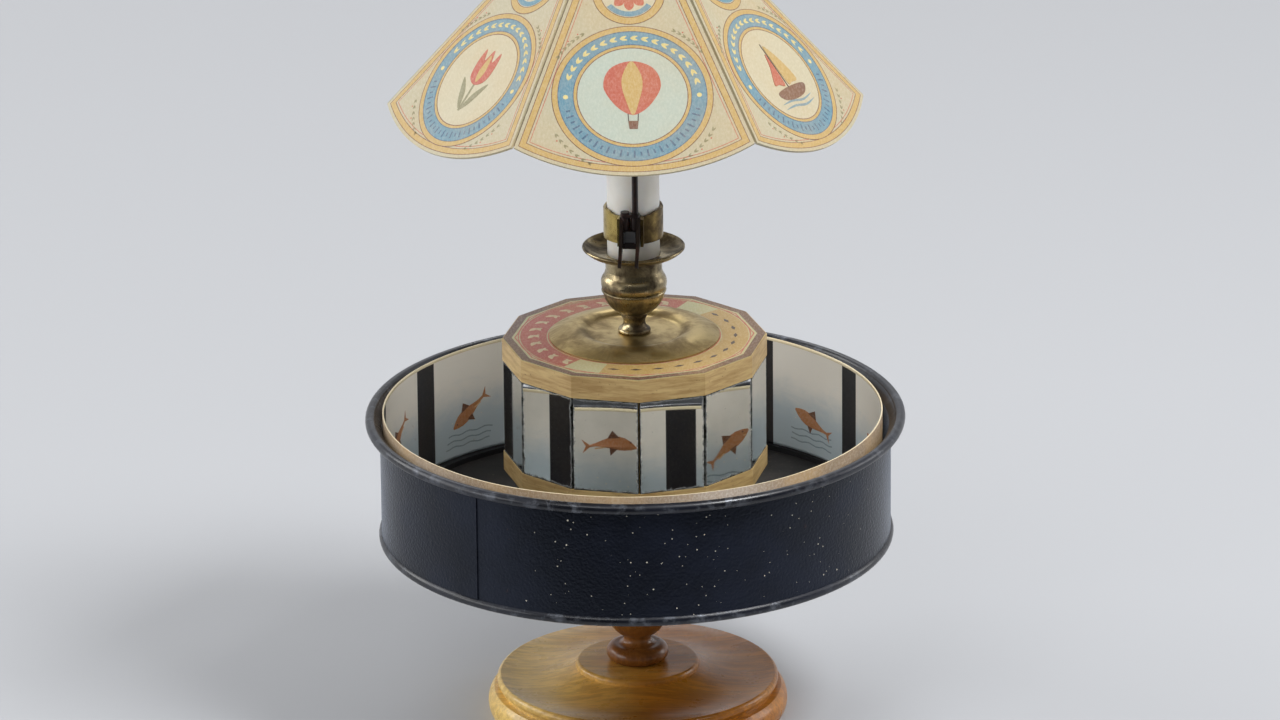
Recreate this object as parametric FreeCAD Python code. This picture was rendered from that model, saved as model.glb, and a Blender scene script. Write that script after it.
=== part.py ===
import FreeCAD, Part
import math
import os

# A hand-turned praxinoscope lit by a candle. Sizes are in millimetres. Z is up from the
# table, the drum turns about Z, and the front, where the clip's levers are, faces -Y.

V = FreeCAD.Vector
ORIGIN = V(0, 0, 0)
UP = V(0, 0, 1)
FULL_TURN = 360.0

# Clearances
SHAFT_FIT = 0.06        # radial play of the spindle in its bush, and of the hinge pins
GLUE = 0.05             # radial play of round pieces that are glued or nailed together
SOCKET_FIT = 0.10       # radial play of the candlestick's peg in its socket
SEAT = 0.2              # height left under a piece that lifts off
REST = 0.3              # gap between curved faces that only lean on each other

# Foot
FOOT_R = 63.0           # widest bead of the foot
FOOT_BEAD_H = 12.0
FOOT_BEAD_SWELL = 2.5   # how far the bead stands out from the sole
LIP_R = 59.1
LIP_H = 5.6
LIP_SWELL = 1.4
STEP_R = 26.1           # raised disc in the middle of the foot
STEP_RISE = 2.6
STEP_EDGE = 1.5
FOOT_TOP = 23.4
FOOT_SAG = 2.7          # hollow of the sweep between lip and disc
TENON_R = 8.0
TENON_DEPTH = 15.0

# Stem
STEM_FOOT_BEAD_R = 13.0
STEM_FOOT_BEAD_H = 7.4
STEM_SHOULDER_R = 9.6
STEM_QUIRK = 1.0
STEM_NECK_R = 5.7
STEM_NECK_H = 4.8
STEM_VASE_R = 13.2
STEM_VASE_RISE = 16.6
STEM_WAIST_R = 7.0
STEM_COLLAR_R = 10.6
STEM_COLLAR_H = 4.4
STEM_TOP = 69.7

# Spindle and its bearings
SPINDLE_R = 3.0
SPINDLE_ROOT = 25.0     # length held in the stem
SPINDLE_TIP_H = 3.0
SPINDLE_TIP_R = 0.8
WASHER_R = 8.2
WASHER_T = 1.0
BUSH_WALL = 2.0
HUB_R = 21.0
HUB_EDGE = 2.0
HUB_SCREW_RING_R = 14.0
HUB_SCREW_COUNT = 3
SCREW_SHANK_R = 1.3
SCREW_HEAD_R = 2.8
SCREW_HEAD_H = 1.2
SCREW_BITE = 3.5        # how deep a hub screw goes into the floor

# Drum of sheet metal on a wooden floor
WALL_R = 106.6          # outside of the wall
WALL_T = 0.8
DRUM_BOTTOM = 80.0
FLOOR_T = 5.3
WALL_TOP = 129.5
LAP_WIDTH = 9.0         # soldered lap seam of the wall
LAP_T = 0.5
LAP_ANGLE = -130.0
RIM_BEAD_R = 2.2
RIM_BEAD_OUT = 3.8      # bead centre outside the wall
RIM_BEAD_UP = 2.9       # bead centre above the wall's edge
LOW_BEAD_OUT = 1.1
LOW_BEAD_H = 3.8

# Picture strip, a loop of card that stands in the drum
STRIP_T = 0.6
STRIP_H = 48.0
LEDGE_H = 2.3           # ring round the floor on which the strip stands
LEDGE_W = 4.4
STRIP_LEAN = 1.2        # the loop lies to the left of the drum's middle
STRIP_LAP_WIDTH = 13.0
STRIP_LAP_ANGLE = -128.0

# Mirror drum
MIRROR_COUNT = 12
MIRROR_CORNER_R = 55.1
MIRROR_TURN = 1.58      # degrees by which a corner misses the front
PLINTH_R = 50.0
PLINTH_H = 24.3
BASE_BAND_H = 8.2
MIRROR_H = 40.3
TOP_BAND_H = 9.4
GLASS_T = 2.0
GLASS_INSET = 0.25      # face of the glass behind the bands' edge
GLASS_JOINT = 0.15      # gap between the backs of two mirrors
CUP_R = 6.0
CUP_WALL = 2.5
CUP_SKIRT = 5.0
LABEL_T = 0.3
LABEL_MARGIN = 0.5

# Candlestick
PEG_R = 6.0
PEG_DEPTH = 17.0
SAUCER_R = 35.5
SAUCER_T = 1.1
SAUCER_CREST_R = 24.4     # top of the rounded flange
SAUCER_CREST_H = 3.6
SAUCER_WELL_R = 17.6
SAUCER_WELL_H = 1.7
COLLAR_R = 6.8
COLLAR_H = 1.9
NECK_R = 4.6
NECK_H = 5.2
FILLET_R = 5.4
FILLET_H = 1.4
BULB_LOW_H = 9.4
BULB_R = 13.7
RIDGE_R = 13.5
RIDGE_H = 1.2
BULB_TOP_H = 8.4
NOZZLE_R = 11.75
NOZZLE_H = 6.2
STUD_R = 2.4
PAN_R = 21.3
PAN_RISE = 3.4
PAN_T = 0.9
PAN_EDGE_R = 0.8
PAN_SEAT = 1.6

# Candle
CANDLE_R = 10.9
CANDLE_PLAY = 0.25
CANDLE_SINK = 16.5      # depth of the candle's socket
CANDLE_LENGTH = 104.0
CANDLE_POOL = 1.2
CANDLE_EDGE = 1.8
WICK_R = 0.8
WICK_H = 9.0
WICK_ROOT = 3.0

# Clip that grips the candle and carries the shade
CLIP_RISE = 4.4         # bottom of the jaws above the drip pan's rim
CLIP_TURN = -5.0        # the clip points a little to the left of the front
JAW_T = 1.2
JAW_H = 13.0
JAW_BACK_GAP = 0.8
JAW_WAVE_R = 7.0
JAW_WAVE_DEPTH = 1.1
PIN_R = 1.3
PIN_X = 2.1
PIN_Y = -15.2
KNUCKLE_WALL = 0.55
KNUCKLE_H = 5.6
LEVER_IN = 2.8
LEVER_T = 1.4
LEVER_BACK_Y = -12.2
LEVER_TIP_Y = -28.0
LEVER_TIP_H = 2.0
LEVER_DROP = 5.4        # tip's lower edge below the jaws' lower edge
YOKE_BACK_Y = -13.4
YOKE_FRONT_Y = -17.0
YOKE_HALF = 4.0
YOKE_DROP = 0.4
STRAP_T = 1.2
PIN_HEAD = 0.8
SPRING_T = 0.4
SPRING_ARM = 1.4
SPRING_HALF = 2.45
SPRING_H = 4.6

# Shade of six card panels
PANEL_COUNT = 6
SHADE_Z = 271.0         # height of the middle of the shade's corners
SHADE_CORNER_R = 98.4
SHADE_TOP_R = 27.0
SHADE_SLOPE = 50.9      # slope of a panel, in degrees from level
SHADE_SCALLOP = 13.4    # how far a panel's lower edge bows down
SHADE_LEAN = 5.5        # degrees by which the shade tips back
SHADE_TURN = 2.3
SHADE_SHIFT = -2.7
CARD_T = 1.1
SEAM = 0.7              # half the gap between two panels
TAPE_WIDTH = 6.0
TAPE_T = 0.3
TAPE_INSET = 1.5        # tape's ends inside the panels' ends
RING_DROP = 10.0        # shade's top edge above the carrier's ring
ROD_BEND_DROP = 17.0    # height over which the rod runs out to the ring
ROD_BEND_R = 12.0

# Levels worked out from the sizes above
floor_top = DRUM_BOTTOM + FLOOR_T
hub_bottom = STEM_TOP + WASHER_T + REST
wall_in = WALL_R - WALL_T
strip_out = wall_in - REST - STRIP_LEAN
ledge_top = floor_top + LEDGE_H
plinth_top = floor_top + PLINTH_H
mirror_bottom = plinth_top + BASE_BAND_H
mirror_top_z = mirror_bottom + MIRROR_H
drum_top = mirror_top_z + TOP_BAND_H
label_top = drum_top + LABEL_T
half_step = math.pi / MIRROR_COUNT
band_face = MIRROR_CORNER_R * math.cos(half_step)
glass_back = band_face - GLASS_INSET - GLASS_T
spindle_top = plinth_top - 2 * CUP_WALL - CUP_SKIRT
saucer_z = label_top + SEAT
collar_z = saucer_z + SAUCER_WELL_H
neck_z = collar_z + COLLAR_H
bulb_z = neck_z + NECK_H + FILLET_H
ridge_z = bulb_z + BULB_LOW_H
nozzle_z = ridge_z + RIDGE_H + BULB_TOP_H
nozzle_top = nozzle_z + NOZZLE_H
candle_z = nozzle_top - CANDLE_SINK
socket_r = CANDLE_R + CANDLE_PLAY
pan_top = nozzle_top + PAN_RISE + PAN_EDGE_R
jaw_z = pan_top + CLIP_RISE
jaw_in = CANDLE_R + REST
jaw_out = jaw_in + JAW_T
knuckle_z = jaw_z + JAW_H - KNUCKLE_H
slope = math.radians(SHADE_SLOPE)
shade_face = SHADE_CORNER_R * math.cos(math.pi / PANEL_COUNT)
shade_slant = shade_face / math.cos(slope)
shade_height = shade_slant * math.sin(slope) * (1 - SHADE_TOP_R / SHADE_CORNER_R)
ring_h = shade_height - RING_DROP
ring_r = (shade_face - ring_h / math.tan(slope)
          - (CARD_T + PIN_R + REST) / math.sin(slope))
shade_frame = FreeCAD.Placement(
    V(SHADE_SHIFT, 0, SHADE_Z),
    FreeCAD.Rotation(V(1, 0, 0), -SHADE_LEAN).multiply(FreeCAD.Rotation(UP, SHADE_TURN)))


def section(start, *legs):
    """Closed face in the XZ plane. A leg of one point is a line, one of two is an arc."""
    edges = []
    here = V(start[0], 0, start[1])
    first = here
    for leg in legs:
        ends = [V(r, 0, z) for r, z in leg]
        if len(ends) == 1:
            edges.append(Part.makeLine(here, ends[0]))
        else:
            edges.append(Part.Arc(here, ends[0], ends[1]).toShape())
        here = ends[-1]
    if here.distanceToPoint(first) > 1e-6:
        edges.append(Part.makeLine(here, first))
    return Part.Face(Part.Wire(edges))


def turned(start, *legs):
    """Solid turned about Z from a section."""
    return section(start, *legs).revolve(ORIGIN, UP, FULL_TURN)


def ring(r_in, r_out, z, height):
    outer = Part.makeCylinder(r_out, height, V(0, 0, z))
    return outer.cut(Part.makeCylinder(r_in, height, V(0, 0, z)))


def block(x0, x1, y0, y1, z0, z1):
    corner = V(min(x0, x1), min(y0, y1), min(z0, z1))
    return Part.makeBox(abs(x1 - x0), abs(y1 - y0), abs(z1 - z0), corner)


def prism(corner_r, z, height):
    """Straight prism with the mirror drum's corners."""
    points = []
    for k in range(MIRROR_COUNT + 1):
        angle = math.radians(MIRROR_TURN - 90) + 2 * half_step * k
        points.append(V(corner_r * math.cos(angle), corner_r * math.sin(angle), z))
    return Part.Face(Part.makePolygon(points)).extrude(UP * height)


def make_foot_base():
    lip_z = FOOT_BEAD_H
    sole = FOOT_R - FOOT_BEAD_SWELL
    lip_top = lip_z + LIP_H
    sweep_mid_r = (LIP_R + STEP_R) / 2
    sweep_mid_z = (lip_top + FOOT_TOP - STEP_RISE) / 2 - FOOT_SAG
    edge = STEP_EDGE * (1 - math.sqrt(0.5))
    tenon_z = FOOT_TOP - TENON_DEPTH
    return turned(
        (0, 0), [(sole, 0)],
        [(FOOT_R, FOOT_BEAD_H / 2), (sole, FOOT_BEAD_H)],
        [(LIP_R - LIP_SWELL, lip_z)], [(LIP_R - LIP_SWELL, lip_z + LIP_SWELL)],
        [(LIP_R, lip_z + LIP_H / 2), (LIP_R - LIP_SWELL, lip_top)],
        [(sweep_mid_r, sweep_mid_z), (STEP_R, FOOT_TOP - STEP_RISE)],
        [(STEP_R, FOOT_TOP - STEP_EDGE)],
        [(STEP_R - edge, FOOT_TOP - edge), (STEP_R - STEP_EDGE, FOOT_TOP)],
        [(TENON_R + GLUE, FOOT_TOP)], [(TENON_R + GLUE, tenon_z)], [(0, tenon_z)])


def make_foot_stem():
    bead_top = FOOT_TOP + STEM_FOOT_BEAD_H
    neck_z_mid = bead_top + STEM_NECK_H / 2
    flare_z = bead_top + STEM_NECK_H
    flare_r = (STEM_NECK_R + STEM_SHOULDER_R) / 2
    vase_z = flare_z + STEM_VASE_RISE * 0.72
    collar_bottom = STEM_TOP - STEM_COLLAR_H - STEM_QUIRK
    waist_z = collar_bottom - 2 * STEM_QUIRK
    bore = SPINDLE_R + GLUE
    return turned(
        (0, FOOT_TOP - TENON_DEPTH), [(TENON_R, FOOT_TOP - TENON_DEPTH)],
        [(TENON_R, FOOT_TOP)], [(STEM_SHOULDER_R, FOOT_TOP)],
        [(STEM_FOOT_BEAD_R, FOOT_TOP + STEM_FOOT_BEAD_H * 0.55), (STEM_SHOULDER_R, bead_top)],
        [(STEM_SHOULDER_R - STEM_QUIRK, bead_top)],
        [(STEM_NECK_R, neck_z_mid), (flare_r, flare_z)],
        [(STEM_VASE_R * 0.9, (flare_z + vase_z) / 2 - 1), (STEM_VASE_R, vase_z)],
        [(STEM_VASE_R * 0.78, (vase_z + waist_z) / 2 + 1), (STEM_WAIST_R, waist_z)],
        [(STEM_WAIST_R, collar_bottom)], [(STEM_COLLAR_R - STEM_QUIRK, collar_bottom)],
        [(STEM_COLLAR_R, collar_bottom + STEM_COLLAR_H / 2),
         (STEM_COLLAR_R - STEM_QUIRK, collar_bottom + STEM_COLLAR_H)],
        [(WASHER_R, STEM_TOP)], [(bore, STEM_TOP)],
        [(bore, STEM_TOP - SPINDLE_ROOT)], [(0, STEM_TOP - SPINDLE_ROOT)])


def make_spindle():
    shoulder = spindle_top - SPINDLE_TIP_H
    return turned(
        (0, STEM_TOP - SPINDLE_ROOT), [(SPINDLE_R, STEM_TOP - SPINDLE_ROOT)],
        [(SPINDLE_R, shoulder)], [(SPINDLE_TIP_R, spindle_top)], [(0, spindle_top)])


def screw_places():
    for k in range(HUB_SCREW_COUNT):
        angle = 2 * math.pi * k / HUB_SCREW_COUNT
        yield V(HUB_SCREW_RING_R * math.cos(angle), HUB_SCREW_RING_R * math.sin(angle), 0)


def screw_holes(z0, z1):
    holes = [Part.makeCylinder(SCREW_SHANK_R + GLUE, z1 - z0, place + V(0, 0, z0))
             for place in screw_places()]
    return Part.makeCompound(holes)


def make_hub():
    bore = SPINDLE_R + SHAFT_FIT + BUSH_WALL + GLUE
    hub = turned(
        (bore, hub_bottom), [(HUB_R - HUB_EDGE, hub_bottom)],
        [(HUB_R, hub_bottom + HUB_EDGE)], [(HUB_R, DRUM_BOTTOM)], [(bore, DRUM_BOTTOM)])
    return hub.cut(screw_holes(hub_bottom, DRUM_BOTTOM))


def make_hub_screws():
    screws = []
    for place in screw_places():
        head = Part.makeCylinder(SCREW_HEAD_R, SCREW_HEAD_H, place + V(0, 0, hub_bottom - SCREW_HEAD_H))
        length = DRUM_BOTTOM - hub_bottom + SCREW_BITE
        shank = Part.makeCylinder(SCREW_SHANK_R, length, place + V(0, 0, hub_bottom))
        slot = block(-SCREW_HEAD_R, SCREW_HEAD_R, -SCREW_SHANK_R / 3, SCREW_SHANK_R / 3,
                     hub_bottom - SCREW_HEAD_H, hub_bottom - SCREW_HEAD_H / 2)
        slot.translate(place)
        screws.append(head.fuse(shank).cut(slot).removeSplitter())
    return Part.makeCompound(screws)


def make_drum_floor():
    bore = SPINDLE_R + SHAFT_FIT + BUSH_WALL + GLUE
    floor = ring(bore, wall_in - GLUE, DRUM_BOTTOM, FLOOR_T)
    return floor.cut(screw_holes(DRUM_BOTTOM, DRUM_BOTTOM + SCREW_BITE))


def make_drum_wall():
    wall = ring(wall_in, WALL_R, DRUM_BOTTOM, WALL_TOP - DRUM_BOTTOM)
    low = DRUM_BOTTOM + LOW_BEAD_H + GLUE
    lap = ring(WALL_R - WALL_T / 2, WALL_R + LAP_T, low, WALL_TOP - low - RIM_BEAD_R / 2)
    reach = WALL_R + WALL_T
    keep = block(0, reach, -LAP_WIDTH / 2, LAP_WIDTH / 2, low, WALL_TOP)
    keep.rotate(ORIGIN, UP, LAP_ANGLE)
    return wall.fuse(lap.common(keep)).removeSplitter()


def make_drum_top_rim():
    """Wired edge: the sheet flares out and rolls over a bead."""
    cr = WALL_R + RIM_BEAD_OUT
    cz = WALL_TOP + RIM_BEAD_UP

    def on_bead(degrees):
        angle = math.radians(degrees)
        return (cr + RIM_BEAD_R * math.cos(angle), cz + RIM_BEAD_R * math.sin(angle))

    low = on_bead(225)
    high = on_bead(160)
    return turned(
        (wall_in, WALL_TOP), [(WALL_R, WALL_TOP)],
        [((WALL_R + low[0]) / 2 - WALL_T / 3, (WALL_TOP + low[1]) / 2 + WALL_T / 4), low],
        [on_bead(12), high],
        [((wall_in + high[0]) / 2 - WALL_T / 2, (WALL_TOP + high[1]) / 2), (wall_in, WALL_TOP)])


def make_drum_bottom_rim():
    r = WALL_R + GLUE
    return turned(
        (r, DRUM_BOTTOM),
        [(r + LOW_BEAD_OUT, DRUM_BOTTOM + LOW_BEAD_H / 2), (r, DRUM_BOTTOM + LOW_BEAD_H)])


def make_picture_strip():
    z = ledge_top + SEAT
    loop = ring(strip_out - STRIP_T, strip_out, z, STRIP_H)
    lap = ring(strip_out - 2 * STRIP_T, strip_out - STRIP_T / 2, z, STRIP_H)
    keep = block(0, strip_out, -STRIP_LAP_WIDTH / 2, STRIP_LAP_WIDTH / 2, z, z + STRIP_H)
    keep.rotate(ORIGIN, UP, STRIP_LAP_ANGLE)
    strip = loop.fuse(lap.common(keep)).removeSplitter()
    strip.translate(V(-STRIP_LEAN, 0, 0))
    return strip


def make_mirror_plinth():
    cup_top = spindle_top + REST + CUP_WALL
    skirt = cup_top - CUP_WALL - CUP_SKIRT
    seat = CUP_R + GLUE
    bore = SPINDLE_R + BUSH_WALL
    return turned(
        (bore, floor_top), [(PLINTH_R, floor_top)], [(PLINTH_R, plinth_top)], [(0, plinth_top)],
        [(0, cup_top)], [(seat, cup_top)], [(seat, skirt)], [(bore, skirt)])


def make_pivot_cup():
    cup_top = spindle_top + REST + CUP_WALL
    inner = CUP_R - CUP_WALL + GLUE
    return turned(
        (0, cup_top), [(CUP_R, cup_top)], [(CUP_R, cup_top - CUP_WALL - CUP_SKIRT)],
        [(inner, cup_top - CUP_WALL - CUP_SKIRT)], [(inner, cup_top - CUP_WALL)],
        [(0, cup_top - CUP_WALL)])


def make_mirror_core():
    core = prism(glass_back / math.cos(half_step), mirror_bottom, MIRROR_H)
    hole_z = label_top - PEG_DEPTH - SEAT
    return core.cut(Part.makeCylinder(PEG_R + SOCKET_FIT, drum_top - hole_z, V(0, 0, hole_z)))


def make_mirror(k):
    """One of the flat mirrors, glued with its back to the core."""
    half = glass_back * math.tan(half_step) - GLASS_JOINT / 2
    glass = block(glass_back, glass_back + GLASS_T, -half, half, mirror_bottom, mirror_top_z)
    glass.rotate(ORIGIN, UP, MIRROR_TURN - 90 + (k + 0.5) * FULL_TURN / MIRROR_COUNT)
    return glass


def make_mirror_top():
    band = prism(MIRROR_CORNER_R, mirror_top_z, TOP_BAND_H)
    return band.cut(Part.makeCylinder(PEG_R + SOCKET_FIT, TOP_BAND_H, V(0, 0, mirror_top_z)))


def make_top_label():
    label = prism(MIRROR_CORNER_R - LABEL_MARGIN, drum_top, LABEL_T)
    return label.cut(Part.makeCylinder(PEG_R + REST, LABEL_T, V(0, 0, drum_top)))


def make_saucer():
    """Spun brass saucer: a rounded flange round a shallow well."""
    crest_z = saucer_z + SAUCER_CREST_H
    well_z = saucer_z + SAUCER_WELL_H
    brink_r = (SAUCER_CREST_R + SAUCER_WELL_R) / 2
    brink_z = (crest_z + well_z) / 2
    flange_r = (SAUCER_R + SAUCER_CREST_R) / 2
    flange_z = saucer_z + SAUCER_CREST_H * 0.8
    hole = STUD_R + GLUE
    return turned(
        (hole, saucer_z), [(SAUCER_WELL_R, saucer_z)],
        [(brink_r + SAUCER_T / 3, brink_z - SAUCER_T * 1.1), (SAUCER_CREST_R, crest_z - SAUCER_T)],
        [(flange_r - SAUCER_T / 2, flange_z - SAUCER_T), (SAUCER_R - SAUCER_T, saucer_z)],
        [(SAUCER_R, saucer_z)], [(SAUCER_R, saucer_z + SAUCER_T / 2)],
        [(flange_r, flange_z), (SAUCER_CREST_R, crest_z)],
        [(brink_r + SAUCER_T, crest_z - SAUCER_CREST_H * 0.12), (brink_r, brink_z)],
        [(brink_r - SAUCER_T, well_z + SAUCER_CREST_H * 0.07), (SAUCER_WELL_R, well_z)],
        [(hole, well_z)])


def make_candlestick_peg():
    """Peg under the saucer, with the stud that holds stem and saucer together."""
    peg = Part.makeCylinder(PEG_R, PEG_DEPTH, V(0, 0, saucer_z - PEG_DEPTH))
    stud = Part.makeCylinder(STUD_R, SAUCER_WELL_H + NECK_H, V(0, 0, saucer_z))
    return peg.fuse(stud).removeSplitter()


def make_candlestick_stem():
    """Turned baluster that opens into the candle's socket."""
    foot_r = COLLAR_R - COLLAR_H / 2
    stud_top = collar_z + NECK_H
    hole = STUD_R + GLUE
    bulb_mid_r = (FILLET_R + RIDGE_R) / 2 + 1.4
    bulb_mid_z = bulb_z + BULB_LOW_H * 0.45
    return turned(
        (hole, collar_z), [(foot_r, collar_z)],
        [(COLLAR_R, collar_z + COLLAR_H / 2), (foot_r, neck_z)],
        [(NECK_R, neck_z + NECK_H / 2), (FILLET_R, neck_z + NECK_H)],
        [(FILLET_R, bulb_z)],
        [(bulb_mid_r, bulb_mid_z), (RIDGE_R - RIDGE_H / 2, ridge_z)],
        [(RIDGE_R, ridge_z + RIDGE_H / 2), (RIDGE_R - RIDGE_H / 2, ridge_z + RIDGE_H)],
        [(BULB_R, ridge_z + RIDGE_H + BULB_TOP_H * 0.28),
         (NOZZLE_R + (BULB_R - NOZZLE_R) / 3, ridge_z + RIDGE_H + BULB_TOP_H * 0.75)],
        [(NOZZLE_R, nozzle_z)], [(NOZZLE_R, nozzle_top)], [(socket_r, nozzle_top)],
        [(socket_r, candle_z - SEAT)], [(0, candle_z - SEAT)], [(0, stud_top)], [(hole, stud_top)])


def make_drip_pan():
    """Dished pan that sits on the nozzle round the candle."""
    seat_r = NOZZLE_R + PAN_SEAT
    edge_z = nozzle_top + PAN_RISE
    edge_in = PAN_R - 2 * PAN_EDGE_R
    mid_r = (seat_r + PAN_R) / 2 + 0.8
    return turned(
        (socket_r, nozzle_top), [(seat_r, nozzle_top)],
        [(mid_r, nozzle_top + PAN_RISE * 0.28), (PAN_R - PAN_EDGE_R / 2, edge_z - PAN_EDGE_R / 2)],
        [(PAN_R, edge_z), (PAN_R - PAN_EDGE_R, pan_top)],
        [(edge_in, edge_z)],
        [(mid_r - PAN_T, nozzle_top + PAN_T + PAN_RISE * 0.3), (seat_r - PAN_T / 2, nozzle_top + PAN_T)],
        [(socket_r, nozzle_top + PAN_T)])


def make_candle():
    top = candle_z + CANDLE_LENGTH
    pool_z = top - CANDLE_POOL
    hole = WICK_R + GLUE
    rim = CANDLE_R - CANDLE_EDGE
    return turned(
        (0, candle_z), [(CANDLE_R, candle_z)], [(CANDLE_R, top - CANDLE_EDGE)],
        [(CANDLE_R - CANDLE_EDGE * 0.3, top - CANDLE_EDGE * 0.3), (rim, top)],
        [(rim * 0.6, top - CANDLE_POOL * 0.75), (hole, pool_z)],
        [(hole, pool_z - WICK_ROOT)], [(0, pool_z - WICK_ROOT)])


def make_wick():
    root = candle_z + CANDLE_LENGTH - CANDLE_POOL - WICK_ROOT
    wick = Part.makeCylinder(WICK_R, WICK_ROOT + WICK_H, V(0, 0, root))
    return wick.makeFillet(WICK_R * 0.6, [wick.Edges[0]])


def make_jaw(side):
    """Half collar of sheet brass, with a tab for its lever."""
    tab_in = LEVER_IN + LEVER_T
    top = jaw_z + JAW_H
    band = ring(jaw_in, jaw_out, jaw_z, JAW_H)
    other_half = block(-side * jaw_out, side * JAW_BACK_GAP, -jaw_out, jaw_out, jaw_z, top)
    front = block(-side * jaw_out, side * tab_in, -jaw_out, 0, jaw_z, top)
    tab = block(side * tab_in, side * (tab_in + JAW_T), PIN_Y, -jaw_in * 0.94, jaw_z, top)
    jaw = band.cut(other_half).cut(front).fuse(tab)
    for wave in (0.45, 1.2):
        middle = V(side * jaw_out * wave, -2 * jaw_out, top + JAW_WAVE_R - JAW_WAVE_DEPTH)
        jaw = jaw.cut(Part.makeCylinder(JAW_WAVE_R, 4 * jaw_out, middle, V(0, 1, 0)))
    return jaw.removeSplitter()


def make_lever(side):
    """Iron finger lever with the hinge knuckle at its root."""
    top = jaw_z + JAW_H
    low = knuckle_z + SEAT
    front_y = YOKE_FRONT_Y - 2 * REST
    tip_z = jaw_z - LEVER_DROP
    belly_y = (front_y + LEVER_TIP_Y) / 2
    points = [
        (LEVER_BACK_Y, top), (LEVER_BACK_Y, low), (front_y, low), (front_y, jaw_z + 2 * REST)]
    edges = []
    for here, there in zip(points, points[1:]):
        edges.append(Part.makeLine(V(0, *here), V(0, *there)))
    tip_low = V(0, LEVER_TIP_Y + LEVER_TIP_H / 2, tip_z)
    tip_high = V(0, LEVER_TIP_Y + LEVER_TIP_H / 2, tip_z + LEVER_TIP_H)
    tip_nose = V(0, LEVER_TIP_Y, tip_z + LEVER_TIP_H / 2)
    root_low = V(0, *points[-1])
    root_high = V(0, PIN_Y - PIN_R, top)
    edges.append(Part.Arc(root_low, V(0, belly_y, tip_z + LEVER_TIP_H * 1.9), tip_low).toShape())
    edges.append(Part.Arc(tip_low, tip_nose, tip_high).toShape())
    edges.append(Part.Arc(tip_high, V(0, belly_y, (top + tip_z) / 2 - LEVER_TIP_H), root_high).toShape())
    edges.append(Part.makeLine(root_high, V(0, *points[0])))
    plate = Part.Face(Part.Wire(edges)).extrude(V(side * LEVER_T, 0, 0))
    plate.translate(V(side * LEVER_IN, 0, 0))
    hole = PIN_R + SHAFT_FIT
    pin_foot = V(side * PIN_X, PIN_Y, low)
    knuckle = Part.makeCylinder(hole + KNUCKLE_WALL, top - low, pin_foot)
    bore = Part.makeCylinder(hole, top - low, pin_foot)
    return plate.fuse(knuckle).cut(bore).removeSplitter()


def pin_holes(z0, z1):
    return Part.makeCompound(
        [Part.makeCylinder(PIN_R + GLUE, z1 - z0, V(side * PIN_X, PIN_Y, z0)) for side in (-1, 1)])


def make_clip_yoke():
    bottom = jaw_z - YOKE_DROP
    yoke = block(-YOKE_HALF, YOKE_HALF, YOKE_BACK_Y, YOKE_FRONT_Y, bottom, knuckle_z)
    return yoke.cut(pin_holes(bottom, knuckle_z))


def make_clip_strap():
    bottom = jaw_z + JAW_H + SEAT
    strap = block(-YOKE_HALF, YOKE_HALF, YOKE_BACK_Y, YOKE_FRONT_Y, bottom, bottom + STRAP_T)
    strap = strap.makeFillet(STRAP_T, [e for e in strap.Edges if abs(e.tangentAt(0).z) > 0.9])
    return strap.cut(pin_holes(bottom, bottom + STRAP_T))


def make_left_pin():
    bottom = jaw_z - YOKE_DROP
    strap_top = jaw_z + JAW_H + SEAT + STRAP_T
    pin = Part.makeCylinder(PIN_R, strap_top - bottom, V(-PIN_X, PIN_Y, bottom))
    head = Part.makeCylinder(PIN_R + KNUCKLE_WALL, PIN_HEAD, V(-PIN_X, PIN_Y, strap_top))
    return pin.fuse(head).removeSplitter()


def make_jaw_spring():
    """Bent leaf between the levers that pushes them apart and so closes the jaws."""
    y = YOKE_FRONT_Y
    z = knuckle_z - SPRING_H - SEAT
    leaf = block(-SPRING_HALF, SPRING_HALF, y, y - SPRING_T - SPRING_ARM, z, z + SPRING_H)
    inside = SPRING_HALF - SPRING_T
    hollow = block(-inside, inside, y - SPRING_T, y - SPRING_T - SPRING_ARM, z, z + SPRING_H)
    return leaf.cut(hollow)


def make_shade_carrier():
    """One iron wire: hinge pin of the right jaw, upright rod and ring under the shade."""
    turn = FreeCAD.Placement(ORIGIN, FreeCAD.Rotation(UP, CLIP_TURN))
    foot = turn.multVec(V(PIN_X, PIN_Y, jaw_z - YOKE_DROP))
    end = shade_frame.multVec(V(0, -ring_r, ring_h))
    bend = V(foot.x, foot.y, end.z - ROD_BEND_DROP)
    out = (end - bend).normalize()
    trim = ROD_BEND_R * math.tan(UP.getAngle(out) / 2)
    before = bend - UP * trim
    after = bend + out * trim
    middle = bend + (out - UP).normalize() * ROD_BEND_R * (1 / math.cos(UP.getAngle(out) / 2) - 1)
    path = Part.Wire([
        Part.makeLine(foot, before), Part.Arc(before, middle, after).toShape(),
        Part.makeLine(after, end)])
    rod = path.makePipeShell([Part.Wire(Part.makeCircle(PIN_R, foot, UP))], True, False)
    hoop = Part.makeTorus(ring_r, PIN_R)
    hoop.Placement = shade_frame.multiply(FreeCAD.Placement(V(0, 0, ring_h), FreeCAD.Rotation()))
    return rod.fuse(hoop).removeSplitter()


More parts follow.
